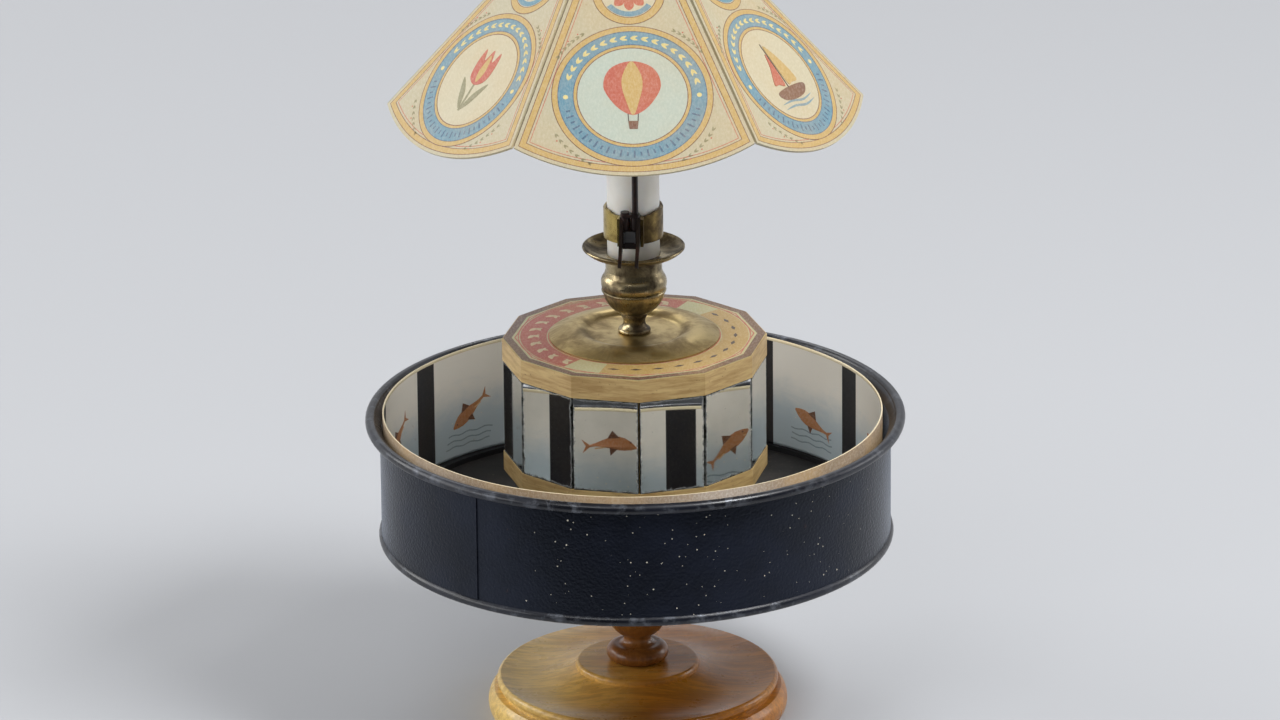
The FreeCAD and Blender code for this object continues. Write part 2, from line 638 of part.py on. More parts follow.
def make_panel(k):
    """Card panel with a scalloped lower edge, cut short of the ridges by the seam."""
    narrowing = math.atan2(SHADE_CORNER_R / 2, shade_slant)
    inset = SEAM / math.cos(narrowing)
    low = SHADE_CORNER_R / 2 - inset
    high = SHADE_TOP_R / 2 - inset
    top = shade_slant * (1 - SHADE_TOP_R / SHADE_CORNER_R)
    corners = [V(low, 0, 0), V(high, top, 0), V(-high, top, 0), V(-low, 0, 0)]
    edges = [Part.makeLine(a, b) for a, b in zip(corners, corners[1:])]
    edges.append(Part.Arc(corners[-1], V(0, -SHADE_SCALLOP, 0), corners[0]).toShape())
    card = Part.Face(Part.Wire(edges)).extrude(V(0, 0, -CARD_T))
    card.rotate(ORIGIN, V(1, 0, 0), SHADE_SLOPE)
    card.translate(V(0, -shade_face, 0))
    card.rotate(ORIGIN, UP, k * FULL_TURN / PANEL_COUNT)
    card.Placement = shade_frame.multiply(card.Placement)
    return card


def panel_normal(degrees):
    angle = math.radians(degrees)
    flat = math.sin(slope)
    return V(flat * math.cos(angle), flat * math.sin(angle), math.cos(slope))


def make_shade_tapes():
    """Paper hinges glued inside the ridges between the panels."""
    half = FULL_TURN / PANEL_COUNT / 2
    right = panel_normal(half)
    left = panel_normal(-half)
    apex_h = shade_face * math.tan(slope)
    ridge = (V(0, 0, apex_h) - V(SHADE_CORNER_R, 0, 0)).normalize()
    along_right = right.cross(ridge) * -1
    along_left = left.cross(ridge)
    if along_right.y < 0:
        along_right = along_right * -1
        along_left = along_left * -1
    inward = (right + left) * (-1 / (1 + right.dot(left)))
    crease = inward * CARD_T
    fold = inward * (CARD_T + TAPE_T)
    points = [
        crease, crease + along_right * TAPE_WIDTH,
        crease + along_right * TAPE_WIDTH - right * TAPE_T, fold,
        crease + along_left * TAPE_WIDTH - left * TAPE_T, crease + along_left * TAPE_WIDTH, crease]
    ridge_length = math.hypot(SHADE_CORNER_R, apex_h) * (1 - SHADE_TOP_R / SHADE_CORNER_R)
    foot = V(SHADE_CORNER_R, 0, 0) + ridge * TAPE_INSET
    face = Part.Face(Part.makePolygon([foot + p for p in points]))
    strip = face.extrude(ridge * (ridge_length - 2 * TAPE_INSET))
    tapes = []
    for k in range(PANEL_COUNT):
        tape = strip.copy()
        tape.rotate(ORIGIN, UP, k * FULL_TURN / PANEL_COUNT)
        tape.Placement = shade_frame.multiply(tape.Placement)
        tapes.append(tape)
    return Part.makeCompound(tapes)


bush_bore = SPINDLE_R + SHAFT_FIT
parts = {
    "foot_base": make_foot_base(),
    "foot_stem": make_foot_stem(),
    "spindle": make_spindle(),
    "thrust_washer": ring(SPINDLE_R + SHAFT_FIT, WASHER_R, STEM_TOP, WASHER_T),
    "drum_hub": make_hub(),
    "hub_bush": ring(bush_bore, bush_bore + BUSH_WALL, hub_bottom, floor_top - hub_bottom),
    "hub_screws": make_hub_screws(),
    "drum_floor": make_drum_floor(),
    "strip_ledge": ring(wall_in - GLUE - LEDGE_W, wall_in - GLUE, floor_top, LEDGE_H),
    "drum_wall": make_drum_wall(),
    "drum_top_rim": make_drum_top_rim(),
    "drum_bottom_rim": make_drum_bottom_rim(),
    "picture_strip": make_picture_strip(),
    "mirror_plinth": make_mirror_plinth(),
    "pivot_cup": make_pivot_cup(),
    "mirror_base": prism(MIRROR_CORNER_R, plinth_top, BASE_BAND_H),
    "mirror_core": make_mirror_core(),
    "mirror_top": make_mirror_top(),
    "top_label": make_top_label(),
    "candlestick_saucer": make_saucer(),
    "candlestick_peg": make_candlestick_peg(),
    "candlestick_stem": make_candlestick_stem(),
    "drip_pan": make_drip_pan(),
    "candle": make_candle(),
    "wick": make_wick(),
    "clip_yoke": make_clip_yoke(),
    "clip_strap": make_clip_strap(),
    "left_hinge_pin": make_left_pin(),
    "jaw_spring": make_jaw_spring(),
    "left_jaw": make_jaw(-1),
    "right_jaw": make_jaw(1),
    "left_lever": make_lever(-1),
    "right_lever": make_lever(1),
}
for name in ("clip_yoke", "clip_strap", "left_hinge_pin", "jaw_spring",
             "left_jaw", "right_jaw", "left_lever", "right_lever"):
    parts[name].rotate(ORIGIN, UP, CLIP_TURN)
parts["shade_carrier"] = make_shade_carrier()
for k in range(MIRROR_COUNT):
    parts["mirror_%02d" % (k + 1)] = make_mirror(k)
for k in range(PANEL_COUNT):
    parts["shade_panel_%d" % (k + 1)] = make_panel(k)
parts["shade_tapes"] = make_shade_tapes()

os.makedirs("parts", exist_ok=True)
for name, shape in parts.items():
    if not shape.isValid() or shape.Volume <= 0:
        print("check", name, shape.isValid(), shape.Volume)
    shape.exportStep("parts/%s.step" % name)
print(len(parts), "pieces, jaws at z", round(jaw_z, 2), "drum top", round(drum_top, 2))
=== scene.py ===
import math

import bpy
from mathutils import Matrix, Vector
from mathutils.geometry import tessellate_polygon


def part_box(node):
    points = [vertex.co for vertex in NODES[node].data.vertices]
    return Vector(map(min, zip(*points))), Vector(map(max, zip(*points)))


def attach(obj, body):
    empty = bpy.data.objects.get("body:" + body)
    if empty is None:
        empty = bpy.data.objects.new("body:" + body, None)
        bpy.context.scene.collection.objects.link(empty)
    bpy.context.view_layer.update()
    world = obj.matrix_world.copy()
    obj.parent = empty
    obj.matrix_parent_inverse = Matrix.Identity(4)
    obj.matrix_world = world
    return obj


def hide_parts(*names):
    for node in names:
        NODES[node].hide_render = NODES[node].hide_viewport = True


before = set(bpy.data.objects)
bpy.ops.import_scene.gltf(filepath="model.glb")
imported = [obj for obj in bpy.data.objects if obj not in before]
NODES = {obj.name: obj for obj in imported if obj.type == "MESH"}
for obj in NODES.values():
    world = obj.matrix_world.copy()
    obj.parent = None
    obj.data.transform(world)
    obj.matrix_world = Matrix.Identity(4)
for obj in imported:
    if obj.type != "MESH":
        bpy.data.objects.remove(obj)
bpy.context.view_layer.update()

# A praxinoscope on a pale table. Lengths are in metres, and the front faces -Y.
MM = 0.001

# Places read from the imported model
MIRROR_NAMES = sorted(name for name in NODES if name.startswith("mirror_") and name[-2:].isdigit())
PANEL_NAMES = sorted(name for name in NODES if name.startswith("shade_panel_"))
MIRRORS = len(MIRROR_NAMES)
PANELS = len(PANEL_NAMES)
glass = NODES[MIRROR_NAMES[0]].data.vertices
glass_mid = sum((v.co for v in glass), Vector()) / len(glass)
MIRROR_CORNER = math.atan2(glass_mid.y, glass_mid.x) - math.pi / MIRRORS


def rgb(r, g, b):
    """Linear colour from a screen's values of 0 to 255."""
    def one(c):
        c = c / 255
        return c / 12.92 if c <= 0.04045 else ((c + 0.055) / 1.055) ** 2.4
    return (one(r), one(g), one(b), 1.0)


# Colours of the printing
CREAM = rgb(178, 169, 140)
OCHRE = rgb(184, 152, 84)
BLUE = rgb(86, 132, 150)
BLUE_DEEP = rgb(46, 84, 116)
RED_LINE = rgb(178, 84, 58)
PALE_DISC = rgb(172, 182, 168)
PALE_PAPER = rgb(190, 180, 150)
INK = rgb(58, 44, 40)
BRICK = rgb(176, 76, 54)
LEAF = rgb(128, 122, 84)
STRAW = rgb(214, 196, 126)
FISH_ORANGE = rgb(188, 122, 74)
BROWN_LINE = rgb(104, 58, 34)

# Colours and strengths of the floor, of the even light and of the room seen in reflections
FLOOR_COLOUR = rgb(208, 210, 214)
FLOOR_BASE = rgb(187, 189, 193)
FLOOR_HALF = 7.0
WORLD_LIGHT = 0.33
ROOM_FRONT = 0.08
ROOM_BACK = 0.95
CEILING = 0.85
COOL_TINT = (0.72, 0.82, 1.0, 1.0)

# Printing reaches a little into its sheet, and each layer stands above the last. Triangles no
# larger than a sliver are left out.
INK_DEPTH = 0.05 * MM
LAYER = 0.03 * MM
SLIVER = 1e-14
HOOP_STEPS = 96
PAPER_GRAIN = 0.08 * MM


class Tree:
    """A node tree, with short calls for the nodes used here."""

    def __init__(self, owner, coordinates):
        owner.use_nodes = True
        self.tree = owner.node_tree
        self.tree.nodes.clear()
        self.coord = self.add("ShaderNodeTexCoord").outputs[coordinates]

    def link(self, a, b):
        self.tree.links.new(a, b)

    def feed(self, value, socket):
        if hasattr(value, "is_output"):
            self.link(value, socket)
        else:
            socket.default_value = value

    def add(self, kind, **inputs):
        """A new node. Its inputs are set to values or fed from other nodes."""
        node = self.tree.nodes.new(kind)
        for name, value in inputs.items():
            self.feed(value, node.inputs[name.replace("_", " ")])
        return node

    def stretched(self, scale, rotation=(0, 0, 0)):
        node = self.add("ShaderNodeMapping", Vector=self.coord, Scale=scale, Rotation=rotation)
        return node.outputs[0]

    def noise(self, scale, detail=4.0, rough=0.55, distortion=0.0, vector=None):
        node = self.add("ShaderNodeTexNoise", Vector=vector or self.coord, Scale=scale,
                        Detail=detail, Roughness=rough, Distortion=distortion)
        return node.outputs["Fac"]

    def cells(self, scale):
        node = self.add("ShaderNodeTexVoronoi", Vector=self.coord, Scale=scale)
        return node.outputs["Distance"]

    def waves(self, scale, distortion, detail, vector):
        node = self.add("ShaderNodeTexWave", Vector=vector, Scale=scale, Distortion=distortion,
                        Detail=detail, Detail_Scale=1.5)
        return node.outputs["Fac"]

    def math(self, operation, a, b=0.0, c=0.0):
        node = self.add("ShaderNodeMath")
        node.operation = operation
        for value, socket in zip((a, b, c), node.inputs):
            self.feed(value, socket)
        return node.outputs[0]

    def plus(self, a, b):
        return self.math("ADD", a, b)

    def minus(self, a, b):
        return self.math("SUBTRACT", a, b)

    def times(self, a, b):
        return self.math("MULTIPLY", a, b)

    def larger(self, a, b):
        return self.math("MAXIMUM", a, b)

    def smaller(self, a, b):
        return self.math("MINIMUM", a, b)

    def span(self, value, low, high, out_low=0.0, out_high=1.0):
        """Goes smoothly from out_low to out_high while the value goes from low to high."""
        node = self.add("ShaderNodeMapRange", Value=value, From_Min=low, From_Max=high,
                        To_Min=out_low, To_Max=out_high)
        node.interpolation_type = "SMOOTHSTEP"
        return node.outputs["Result"]

    def axis(self, name):
        return self.add("ShaderNodeSeparateXYZ", Vector=self.coord).outputs[name]

    def mix(self, fac, a, b):
        """Colour a where fac is 0, colour b where it is 1."""
        node = self.add("ShaderNodeMix")
        node.data_type = "RGBA"
        for name, value in (("Factor", fac), ("A", a), ("B", b)):
            self.feed(value, node.inputs[name])
        return node.outputs["Result"]

    def choose(self, fac, a, b):
        """Shader node a where fac is 0, shader node b where it is 1."""
        node = self.add("ShaderNodeMixShader")
        for value, socket in zip((fac, a.outputs[0], b.outputs[0]), node.inputs):
            self.link(value, socket)
        return node


class Nodes(Tree):
    """A material with one principled surface."""

    def __init__(self, name):
        self.mat = bpy.data.materials.new(name)
        super().__init__(self.mat, "Object")
        self.out = self.add("ShaderNodeOutputMaterial")
        self.bsdf = self.add("ShaderNodeBsdfPrincipled")
        self.link(self.bsdf.outputs[0], self.out.inputs["Surface"])

    def shader(self, **values):
        for name, value in values.items():
            self.feed(value, self.bsdf.inputs[name.replace("_", " ")])

    def bump(self, height, depth, strength):
        node = self.add("ShaderNodeBump", Height=height, Strength=strength, Distance=depth)
        self.link(node.outputs[0], self.bsdf.inputs["Normal"])
        return self


def disc_highlight_and_shade(m, base):
    """Painted light on the foot's disc: a painted highlight, pale gold on the left, and painted
    shade, brown in front.
    """
    ragged = m.times(m.noise(34, 4, 0.6), 0.05)
    across = m.plus(m.axis("X"), ragged)
    depth = m.plus(m.axis("Y"), ragged)
    left = m.span(across, 0.04, -0.03)
    front = m.times(m.span(depth, 0.0, -0.04), m.span(across, 0.075, 0.035))
    front_shade = m.times(front, m.math("MULTIPLY_ADD", left, -0.3, 0.85))
    # Painted highlight: pale gold on the left of the disc.
    base = m.mix(m.times(left, 0.9), base, rgb(244, 208, 120))
    # Painted shade: brown in front, less so towards the left.
    return m.mix(front_shade, base, rgb(94, 52, 20))


def foot_wood(name, grain_axis, light, dark, is_disc):
    """Honey fruitwood under varnish. The grain runs along the given axis."""
    m = Nodes(name)
    scale = [1.0, 1.0, 1.0]
    scale["XYZ".index(grain_axis)] = 0.09
    along = m.stretched(scale, rotation=(0.05, 0.04, 0.12))
    broad = m.noise(26, 3, 0.5, 0.6, along)
    fine = m.noise(420, 4, 0.7, 0.2, along)
    pores = m.span(m.noise(1500, 2, 0.6, 0, along), 0.60, 0.72)
    base = m.mix(m.span(broad, 0.32, 0.70), light, dark)
    base = m.mix(m.span(fine, 0.35, 0.75, 0.0, 0.4), base, light)
    if is_disc:
        base = disc_highlight_and_shade(m, base)
    base = m.mix(m.span(fine, 0.42, 0.62, 0.3, 0.0), base, rgb(92, 52, 18))
    base = m.mix(m.times(pores, 0.45), base, rgb(84, 48, 18))
    m.shader(Base_Color=base, Roughness=m.span(m.noise(55, 4, 0.6), 0.3, 0.8, 0.24, 0.4),
             Coat_Weight=0.18, Coat_Roughness=0.16, Specular_IOR_Level=0.3)
    return m.bump(m.plus(fine, m.times(pores, -0.6)), 0.00012, 0.35).mat


def band_wood():
    """Pale sawn wood of the mirror drum, with darker patches and specks of handling grime."""
    m = Nodes("band_wood")
    along = m.stretched((0.12, 0.12, 1.0))
    grain = m.noise(560, 4, 0.65, 0.3, along)
    patch = m.noise(48, 3, 0.6)
    base = m.mix(m.span(grain, 0.3, 0.72), rgb(196, 168, 114), rgb(158, 126, 76))
    base = m.mix(m.span(patch, 0.52, 0.78, 0.0, 0.55), base, rgb(132, 98, 54))
    speck = m.span(m.noise(900, 2, 0.5), 0.68, 0.74)
    base = m.mix(m.times(speck, 0.6), base, rgb(80, 56, 30))
    m.shader(Base_Color=base, Roughness=0.5, Coat_Weight=0.15, Coat_Roughness=0.3)
    return m.bump(grain, 0.00015, 0.4).mat


def plain_wood():
    m = Nodes("plain_wood")
    grain = m.noise(300, 4, 0.6, 0.2, m.stretched((0.1, 1, 1)))
    base = m.mix(m.span(grain, 0.3, 0.75), rgb(122, 86, 50), rgb(84, 56, 30))
    m.shader(Base_Color=base, Roughness=0.6)
    return m.bump(grain, 0.0002, 0.4).mat


def enamel(name):
    """Blue-black enamel: its tree, its colour, its clouds and its pebbled skin."""
    m = Nodes(name)
    cloud = m.noise(24, 4, 0.6)
    base = m.mix(m.span(cloud, 0.35, 0.7), rgb(10, 12, 20), rgb(18, 22, 35))
    return m, base, cloud, m.noise(850, 2, 0.5)


def paint_spots(m):
    """Mask of small spots of pale paint on the wall's front, fewer high up and on the left."""
    patch = m.span(m.noise(16, 2, 0.5), 0.30, 0.55, 0.86, 1.0)
    low = m.span(m.axis("Z"), 0.15, 0.115, 0.82, 1.0)
    front = m.span(m.axis("Y"), 0.02, -0.07)
    right = m.span(m.axis("X"), -0.085, -0.01, 0.55, 1.0)
    where = m.times(m.times(front, right), m.times(patch, low))
    spot = m.plus(m.cells(390), m.times(m.noise(170, 3), 0.5))
    return m.math("LESS_THAN", spot, m.times(where, 0.325))


def wall_enamel():
    m, base, cloud, pebble = enamel("drum_black_wall")
    rust = m.span(m.noise(70, 5, 0.75), 0.66, 0.74)
    base = m.mix(m.times(rust, 0.35), base, rgb(92, 62, 46))
    base = m.mix(paint_spots(m), base, rgb(212, 206, 190))
    m.shader(Base_Color=base, Roughness=m.span(cloud, 0.3, 0.75, 0.28, 0.38), Metallic=0.0,
             Specular_IOR_Level=0.3, Specular_Tint=COOL_TINT,
             Sheen_Weight=0.7, Sheen_Roughness=0.22, Sheen_Tint=COOL_TINT)
    return m.bump(pebble, 0.0003, 0.8).mat


def edge_enamel():
    """Enamel of the rolled edges, rubbed to dull metal."""
    m, base, cloud, pebble = enamel("drum_black_edge")
    rubbed = m.times(m.span(m.noise(150, 5, 0.7), 0.48, 0.66),
                     m.span(m.noise(14, 3, 0.6), 0.34, 0.62))
    base = m.mix(m.times(rubbed, 0.8), base, rgb(112, 116, 124))
    m.shader(Base_Color=base, Roughness=m.span(cloud, 0.3, 0.75, 0.26, 0.4),
             Metallic=m.times(rubbed, 0.7))
    return m.bump(pebble, 0.0003, 0.12).mat


def floor_black():
    m = Nodes("floor_black")
    streak = m.noise(60, 4, 0.7, 0.4, m.stretched((0.3, 1.2, 1)))
    dust = m.span(m.noise(340, 3, 0.7), 0.56, 0.75)
    base = m.mix(m.span(streak, 0.3, 0.7), rgb(22, 21, 22), rgb(44, 40, 38))
    base = m.mix(m.times(dust, 0.45), base, rgb(98, 90, 80))
    m.shader(Base_Color=base, Roughness=0.55)
    return m.bump(streak, 0.0002, 0.4).mat


def ledge_black():
    m = Nodes("ledge_black")
    worn = m.noise(180, 4, 0.7)
    chips = m.span(m.noise(95, 5, 0.8), 0.70, 0.74)
    base = m.mix(m.span(worn, 0.3, 0.75), rgb(14, 14, 17), rgb(26, 25, 28))
    base = m.mix(m.times(chips, 0.8), base, rgb(176, 160, 126))
    m.shader(Base_Color=base, Roughness=0.5)
    return m.bump(worn, 0.0001, 0.4).mat


def old_brass(name, bright, dark, patina, matte=0.05):
    """Brass with a brown patina that leaves the rubbed places bright."""
    m = Nodes(name)
    cloud = m.noise(70, 5, 0.65, 0.4)
    spots = m.span(m.noise(420, 4, 0.75), 0.55, 0.72)
    rings = m.noise(900, 2, 0.6, 0, m.stretched((0.25, 0.25, 1.6)))
    dull = m.span(cloud, 0.62 - patina * 0.4, 0.86 - patina * 0.3)
    dull = m.larger(dull, m.times(spots, 0.5))
    base = m.mix(dull, bright, dark)
    m.shader(Base_Color=base, Metallic=m.span(dull, 0, 1, 1.0, 0.82),
             Roughness=m.span(dull, 0, 1, 0.2 + matte, 0.42 + matte))
    return m.bump(m.plus(rings, m.times(spots, 0.6)), 0.00006, 0.35).mat


def dark_iron():
    m = Nodes("dark_iron")
    pits = m.noise(900, 4, 0.7)
    rust = m.span(m.noise(190, 4, 0.7), 0.5, 0.7)
    base = m.mix(m.times(rust, 0.6), rgb(36, 26, 24), rgb(78, 44, 32))
    m.shader(Base_Color=base, Metallic=0.15, Roughness=m.span(rust, 0, 1, 0.3, 0.5))
    return m.bump(pits, 0.0001, 0.4).mat


def steel():
    m = Nodes("steel")
    lathe = m.noise(1500, 2, 0.5, 0, m.stretched((0.1, 0.1, 1.5)))
    m.shader(Base_Color=m.mix(lathe, rgb(120, 120, 124), rgb(160, 160, 162)), Metallic=1.0,
             Roughness=m.span(lathe, 0.3, 0.7, 0.28, 0.4))
    return m.bump(lathe, 0.00005, 0.3).mat


def candle_wax():
    m = Nodes("candle_wax")
    soft = m.noise(60, 3, 0.5)
    streak = m.noise(420, 3, 0.6, 0, m.stretched((1, 1, 0.12)))
    base = m.mix(m.span(soft, 0.35, 0.7), rgb(238, 236, 230), rgb(224, 221, 212))
    m.shader(Base_Color=base, Roughness=m.span(soft, 0.3, 0.7, 0.34, 0.48),
             Subsurface_Weight=0.35, Subsurface_Scale=0.004, Subsurface_Radius=(1.0, 0.8, 0.6))
    return m.bump(m.plus(soft, m.times(streak, 0.25)), 0.0003, 0.3).mat


def wick_cotton(char_z):
    m = Nodes("wick_cotton")
    braid = m.waves(1400, 2.0, 2, m.stretched((1, 1, 1), (0.6, 0.6, 0)))
    burnt = m.span(m.axis("Z"), char_z, char_z + 0.003)
    base = m.mix(burnt, rgb(214, 204, 182), rgb(24, 20, 18))
    m.shader(Base_Color=base, Roughness=0.9)
    return m.bump(braid, 0.0002, 0.8).mat


def aged(m, colour, age, rubbed):
    """Printed paper: fibres, yellowing, foxing and faint rubbed streaks over a flat ink."""
    cloud = m.noise(32, 4, 0.6)
    fibre = m.noise(1300, 3, 0.7, 0, m.stretched((1, 0.35, 0.7)))
    fox = m.span(m.noise(260, 4, 0.75), 0.64, 0.74)
    base = m.mix(m.span(cloud, 0.35, 0.75, 0.0, 0.30 * age), colour, rgb(196, 160, 104))
    base = m.mix(m.times(fox, 0.35 * age), base, rgb(138, 96, 56))
    base = m.mix(m.span(fibre, 0.35, 0.75, 0.0, rubbed), base, rgb(250, 244, 228))
    return base, fibre, cloud


def paper(name, colour, age, varnish=0.25, rubbed=0.12):
    m = Nodes(name)
    base, fibre, cloud = aged(m, colour, age, rubbed)
    m.shader(Base_Color=base, Roughness=m.span(cloud, 0.3, 0.75, 0.46, 0.6),
             Coat_Weight=varnish, Coat_Roughness=0.3)
    return m.bump(fibre, PAPER_GRAIN, 0.35).mat


def mirror_glass():
    """Old silvering seen through glass: clear in the middle, eaten away along the edges."""
    m = Nodes("mirror_glass")
    low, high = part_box(MIRROR_NAMES[0])
    box_corner_share = 0.72
    radius = math.hypot(*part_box("mirror_core")[1].xy) * box_corner_share
    step = 2 * math.pi / MIRRORS
    angle = m.plus(m.math("ARCTAN2", m.axis("Y"), m.axis("X")), 4 * math.pi - MIRROR_CORNER)
    turn = m.math("MODULO", angle, step)
    side = m.minus(step / 2, m.math("ABSOLUTE", m.minus(turn, step / 2)))
    foot = m.minus(m.axis("Z"), low.z)
    head = m.minus(high.z, m.axis("Z"))
    edge = m.smaller(m.times(side, radius), m.smaller(foot, head))
    ragged = m.times(m.noise(210, 5, 0.75), 0.0034)
    eaten = m.span(m.minus(edge, ragged), -0.0016, -0.0004, 1.0, 0.0)
    spots = m.span(m.noise(520, 4, 0.8), 0.68, 0.73)
    gone = m.larger(eaten, m.times(spots, 0.7))
    haze = m.noise(38, 4, 0.6)
    silver = m.mix(m.span(haze, 0.3, 0.75), rgb(243, 245, 245), rgb(228, 231, 230))
    scratch = m.span(m.noise(600, 3, 0.8, 0.3, m.stretched((1, 1, 0.03))), 0.70, 0.74)
    rough = m.larger(m.span(haze, 0.35, 0.8, 0.015, 0.05), m.times(scratch, 0.2))
    m.shader(Base_Color=m.mix(gone, silver, rgb(46, 50, 44)),
             Metallic=m.minus(1.0, m.times(gone, 0.75)),
             Roughness=m.larger(rough, m.times(gone, 0.22)),
             Coat_Weight=0.2, Coat_Roughness=0.05)
    return m.mat


def strip_sky(low_z, high_z):
    """Ground of the strip's pictures: warm and pale above, blue-grey below."""
    m = Nodes("strip_sky")
    level = m.span(m.axis("Z"), low_z, high_z)
    wash = m.noise(90, 4, 0.6, 0.4, m.stretched((1, 1, 2.2)))
    level = m.plus(level, m.times(m.minus(wash, 0.5), 0.35))
    base = m.mix(m.span(level, 0.15, 0.85), rgb(196, 209, 214), rgb(250, 244, 232))
    fibre = m.noise(1200, 3, 0.7)
    fox = m.span(m.noise(240, 4, 0.75), 0.66, 0.75)
    base = m.mix(m.times(fox, 0.4), base, rgb(150, 116, 78))
    m.shader(Base_Color=base, Roughness=0.6)
    return m.bump(fibre, 0.00006, 0.3).mat


def dress(material, *names):
    """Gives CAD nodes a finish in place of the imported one."""
    for name in names:
        mesh = NODES[name].data
        mesh.materials.clear()
        mesh.materials.append(material)


def mesh_piece(name, points, faces, material, body, smooth=False):
    mesh = bpy.data.meshes.new(name)
    mesh.from_pydata(points, [], faces)
    mesh.update()
    mesh.materials.append(material)
    if smooth:
        mesh.shade_smooth()
    piece = bpy.data.objects.new(name, mesh)
    bpy.context.collection.objects.link(piece)
    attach(piece, body)
    return piece


class Sheet:
    """A surface to print on. It turns a place (u, v, height), in metres, into a point."""

    def __init__(self, place, body, slot, **sizes):
        self.place, self.body, self.slot = place, body, slot
        for name, size in sizes.items():
            setattr(self, name, size)


def cap_faces(loops, flat, start):
    """Triangles of a shape's upper side and, turned over, of its lower side."""
    faces, count = [], len(flat)
    for a, b, c in tessellate_polygon([[Vector((u, v, 0)) for u, v in loop] for loop in loops]):
        cross = (flat[b] - flat[a]).cross(flat[c] - flat[a]).z
        if abs(cross) < SLIVER:
            continue
        if cross < 0:
            b, c = c, b
        faces.append((start + a, start + b, start + c))
        faces.append((start + count + a, start + count + c, start + count + b))
    return faces


def side_faces(loops, start, count):
    """Faces between a shape's two sides. Those of its holes run the other way round."""
    faces = []
    for k, loop in enumerate(loops):
        n = len(loop)
        area = sum(a[0] * b[1] - b[0] * a[1] for a, b in zip(loop, loop[1:] + loop[:1]))
        outward = (area > 0) == (k == 0)
        for i in range(n):
            a, b = start + i, start + (i + 1) % n
            faces.append((a, a + count, b + count, b) if outward else (b, b + count, a + count, a))
        start += n
    return faces


def ink(sheet, name, shapes, material, layer=1):
    """Prints shapes as one thin closed piece. A shape is a list of loops, the first the outside."""
    points, faces = [], []
    for loops in shapes:
        flat = [Vector((u, v, 0)) for loop in loops for u, v in loop]
        start = len(points)
        for height in (layer * LAYER, -INK_DEPTH):
            points += [sheet.place(p.x, p.y, height) for p in flat]
        faces += cap_faces(loops, flat, start) + side_faces(loops, start, len(flat))
    return mesh_piece(name, points, faces, material, sheet.body)


def circle(u, v, r, steps=64):
    turns = [2 * math.pi * k / steps for k in range(steps)]
    return [(u + r * math.cos(a), v + r * math.sin(a)) for a in turns]


def hoop(v, outer, inner):
    """Ring about (0, v), between two radii."""
    return [circle(0, v, outer, HOOP_STEPS), circle(0, v, inner, HOOP_STEPS)[::-1]]


def hoops(v, r, *spans):
    """Rings about (0, v). Each span is an outer and an inner radius, as shares of r."""
    return [hoop(v, r * outer, r * inner) for outer, inner in spans]


def arc_band(v, r_in, r_out, first, last, steps):
    """Part of a ring about (0, v), between two angles in degrees."""
    outer, inner = [], []
    for k in range(steps + 1):
        a = math.radians(first + (last - first) * k / steps)
        outer.append((r_out * math.cos(a), v + r_out * math.sin(a)))
        inner.append((r_in * math.cos(a), v + r_in * math.sin(a)))
    return [outer + inner[::-1]]


def moved(loop, u=0.0, v=0.0, turn=0.0, size=1.0):
    c, s = math.cos(math.radians(turn)), math.sin(math.radians(turn))
    scaled = [(x * size, y * size) for x, y in loop]
    return [(u + x * c - y * s, v + x * s + y * c) for x, y in scaled]


def smooth_loop(points, steps=6):
    """Closed curve through given points."""
    out = []
    n = len(points)
    for i in range(n):
        p0, p1, p2, p3 = (Vector(points[(i + j) % n]) for j in (-1, 0, 1, 2))
        for k in range(steps):
            t = k / steps
            point = 0.5 * ((2 * p1) + (p2 - p0) * t + (2 * p0 - 5 * p1 + 4 * p2 - p3) * t * t
                           + (3 * p1 - p0 - 3 * p2 + p3) * t ** 3)
            out.append(tuple(point))
    return out


def row(first, last, count):
    """Evenly spread angles, in degrees."""
    return [first + (last - first) * j / (count - 1) for j in range(count)]


def outer_normal(mesh):
    """Direction of a shade panel's outer face, which looks up and away from the shade's axis."""
    boxes = [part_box(name) for name in PANEL_NAMES]
    axis = Vector((sum(low.x + high.x for low, high in boxes) / 2 / PANELS,
                   sum(low.y + high.y for low, high in boxes) / 2 / PANELS, 0))
    outward = sum((v.co for v in mesh.vertices), Vector()) / len(mesh.vertices) - axis
    outward.z = 0
    normal = Vector()
    least = 0.3
    for face in mesh.polygons:
        if face.normal.dot(outward.normalized()) > least and face.normal.z > least:
            normal += face.normal * face.area
    return normal.normalized()


def panel_sheet(name):
    """Outer face of a shade panel. u runs along its foot and v up its slope."""
    corners = [v.co for v in NODES[name].data.vertices]
    normal = outer_normal(NODES[name].data)
    up = (Vector((0, 0, 1)) - normal * normal.z).normalized()
    along = up.cross(normal)
    top = max(p.dot(normal) for p in corners)
    on_face = 0.02 * MM
    face = [p for p in corners if top - p.dot(normal) < on_face]
    left = min(face, key=lambda p: p.dot(along))
    right = max(face, key=lambda p: p.dot(along))
    turned_along = (right - left).normalized()
    turned_up = normal.cross(turned_along)
    foot = (left + right) / 2
    flat = [((p - foot).dot(turned_along), (p - foot).dot(turned_up)) for p in face]
    head = max(v for u, v in flat)
    head_u = [u for u, v in flat if v > head - MM]

    def place(u, v, height):
        return foot + turned_along * u + turned_up * v + normal * height

    return Sheet(place, "shade", "shade_card", half=(right - left).length / 2, height=head,
                 top_half=(max(head_u) - min(head_u)) / 2, sag=-min(v for u, v in flat))


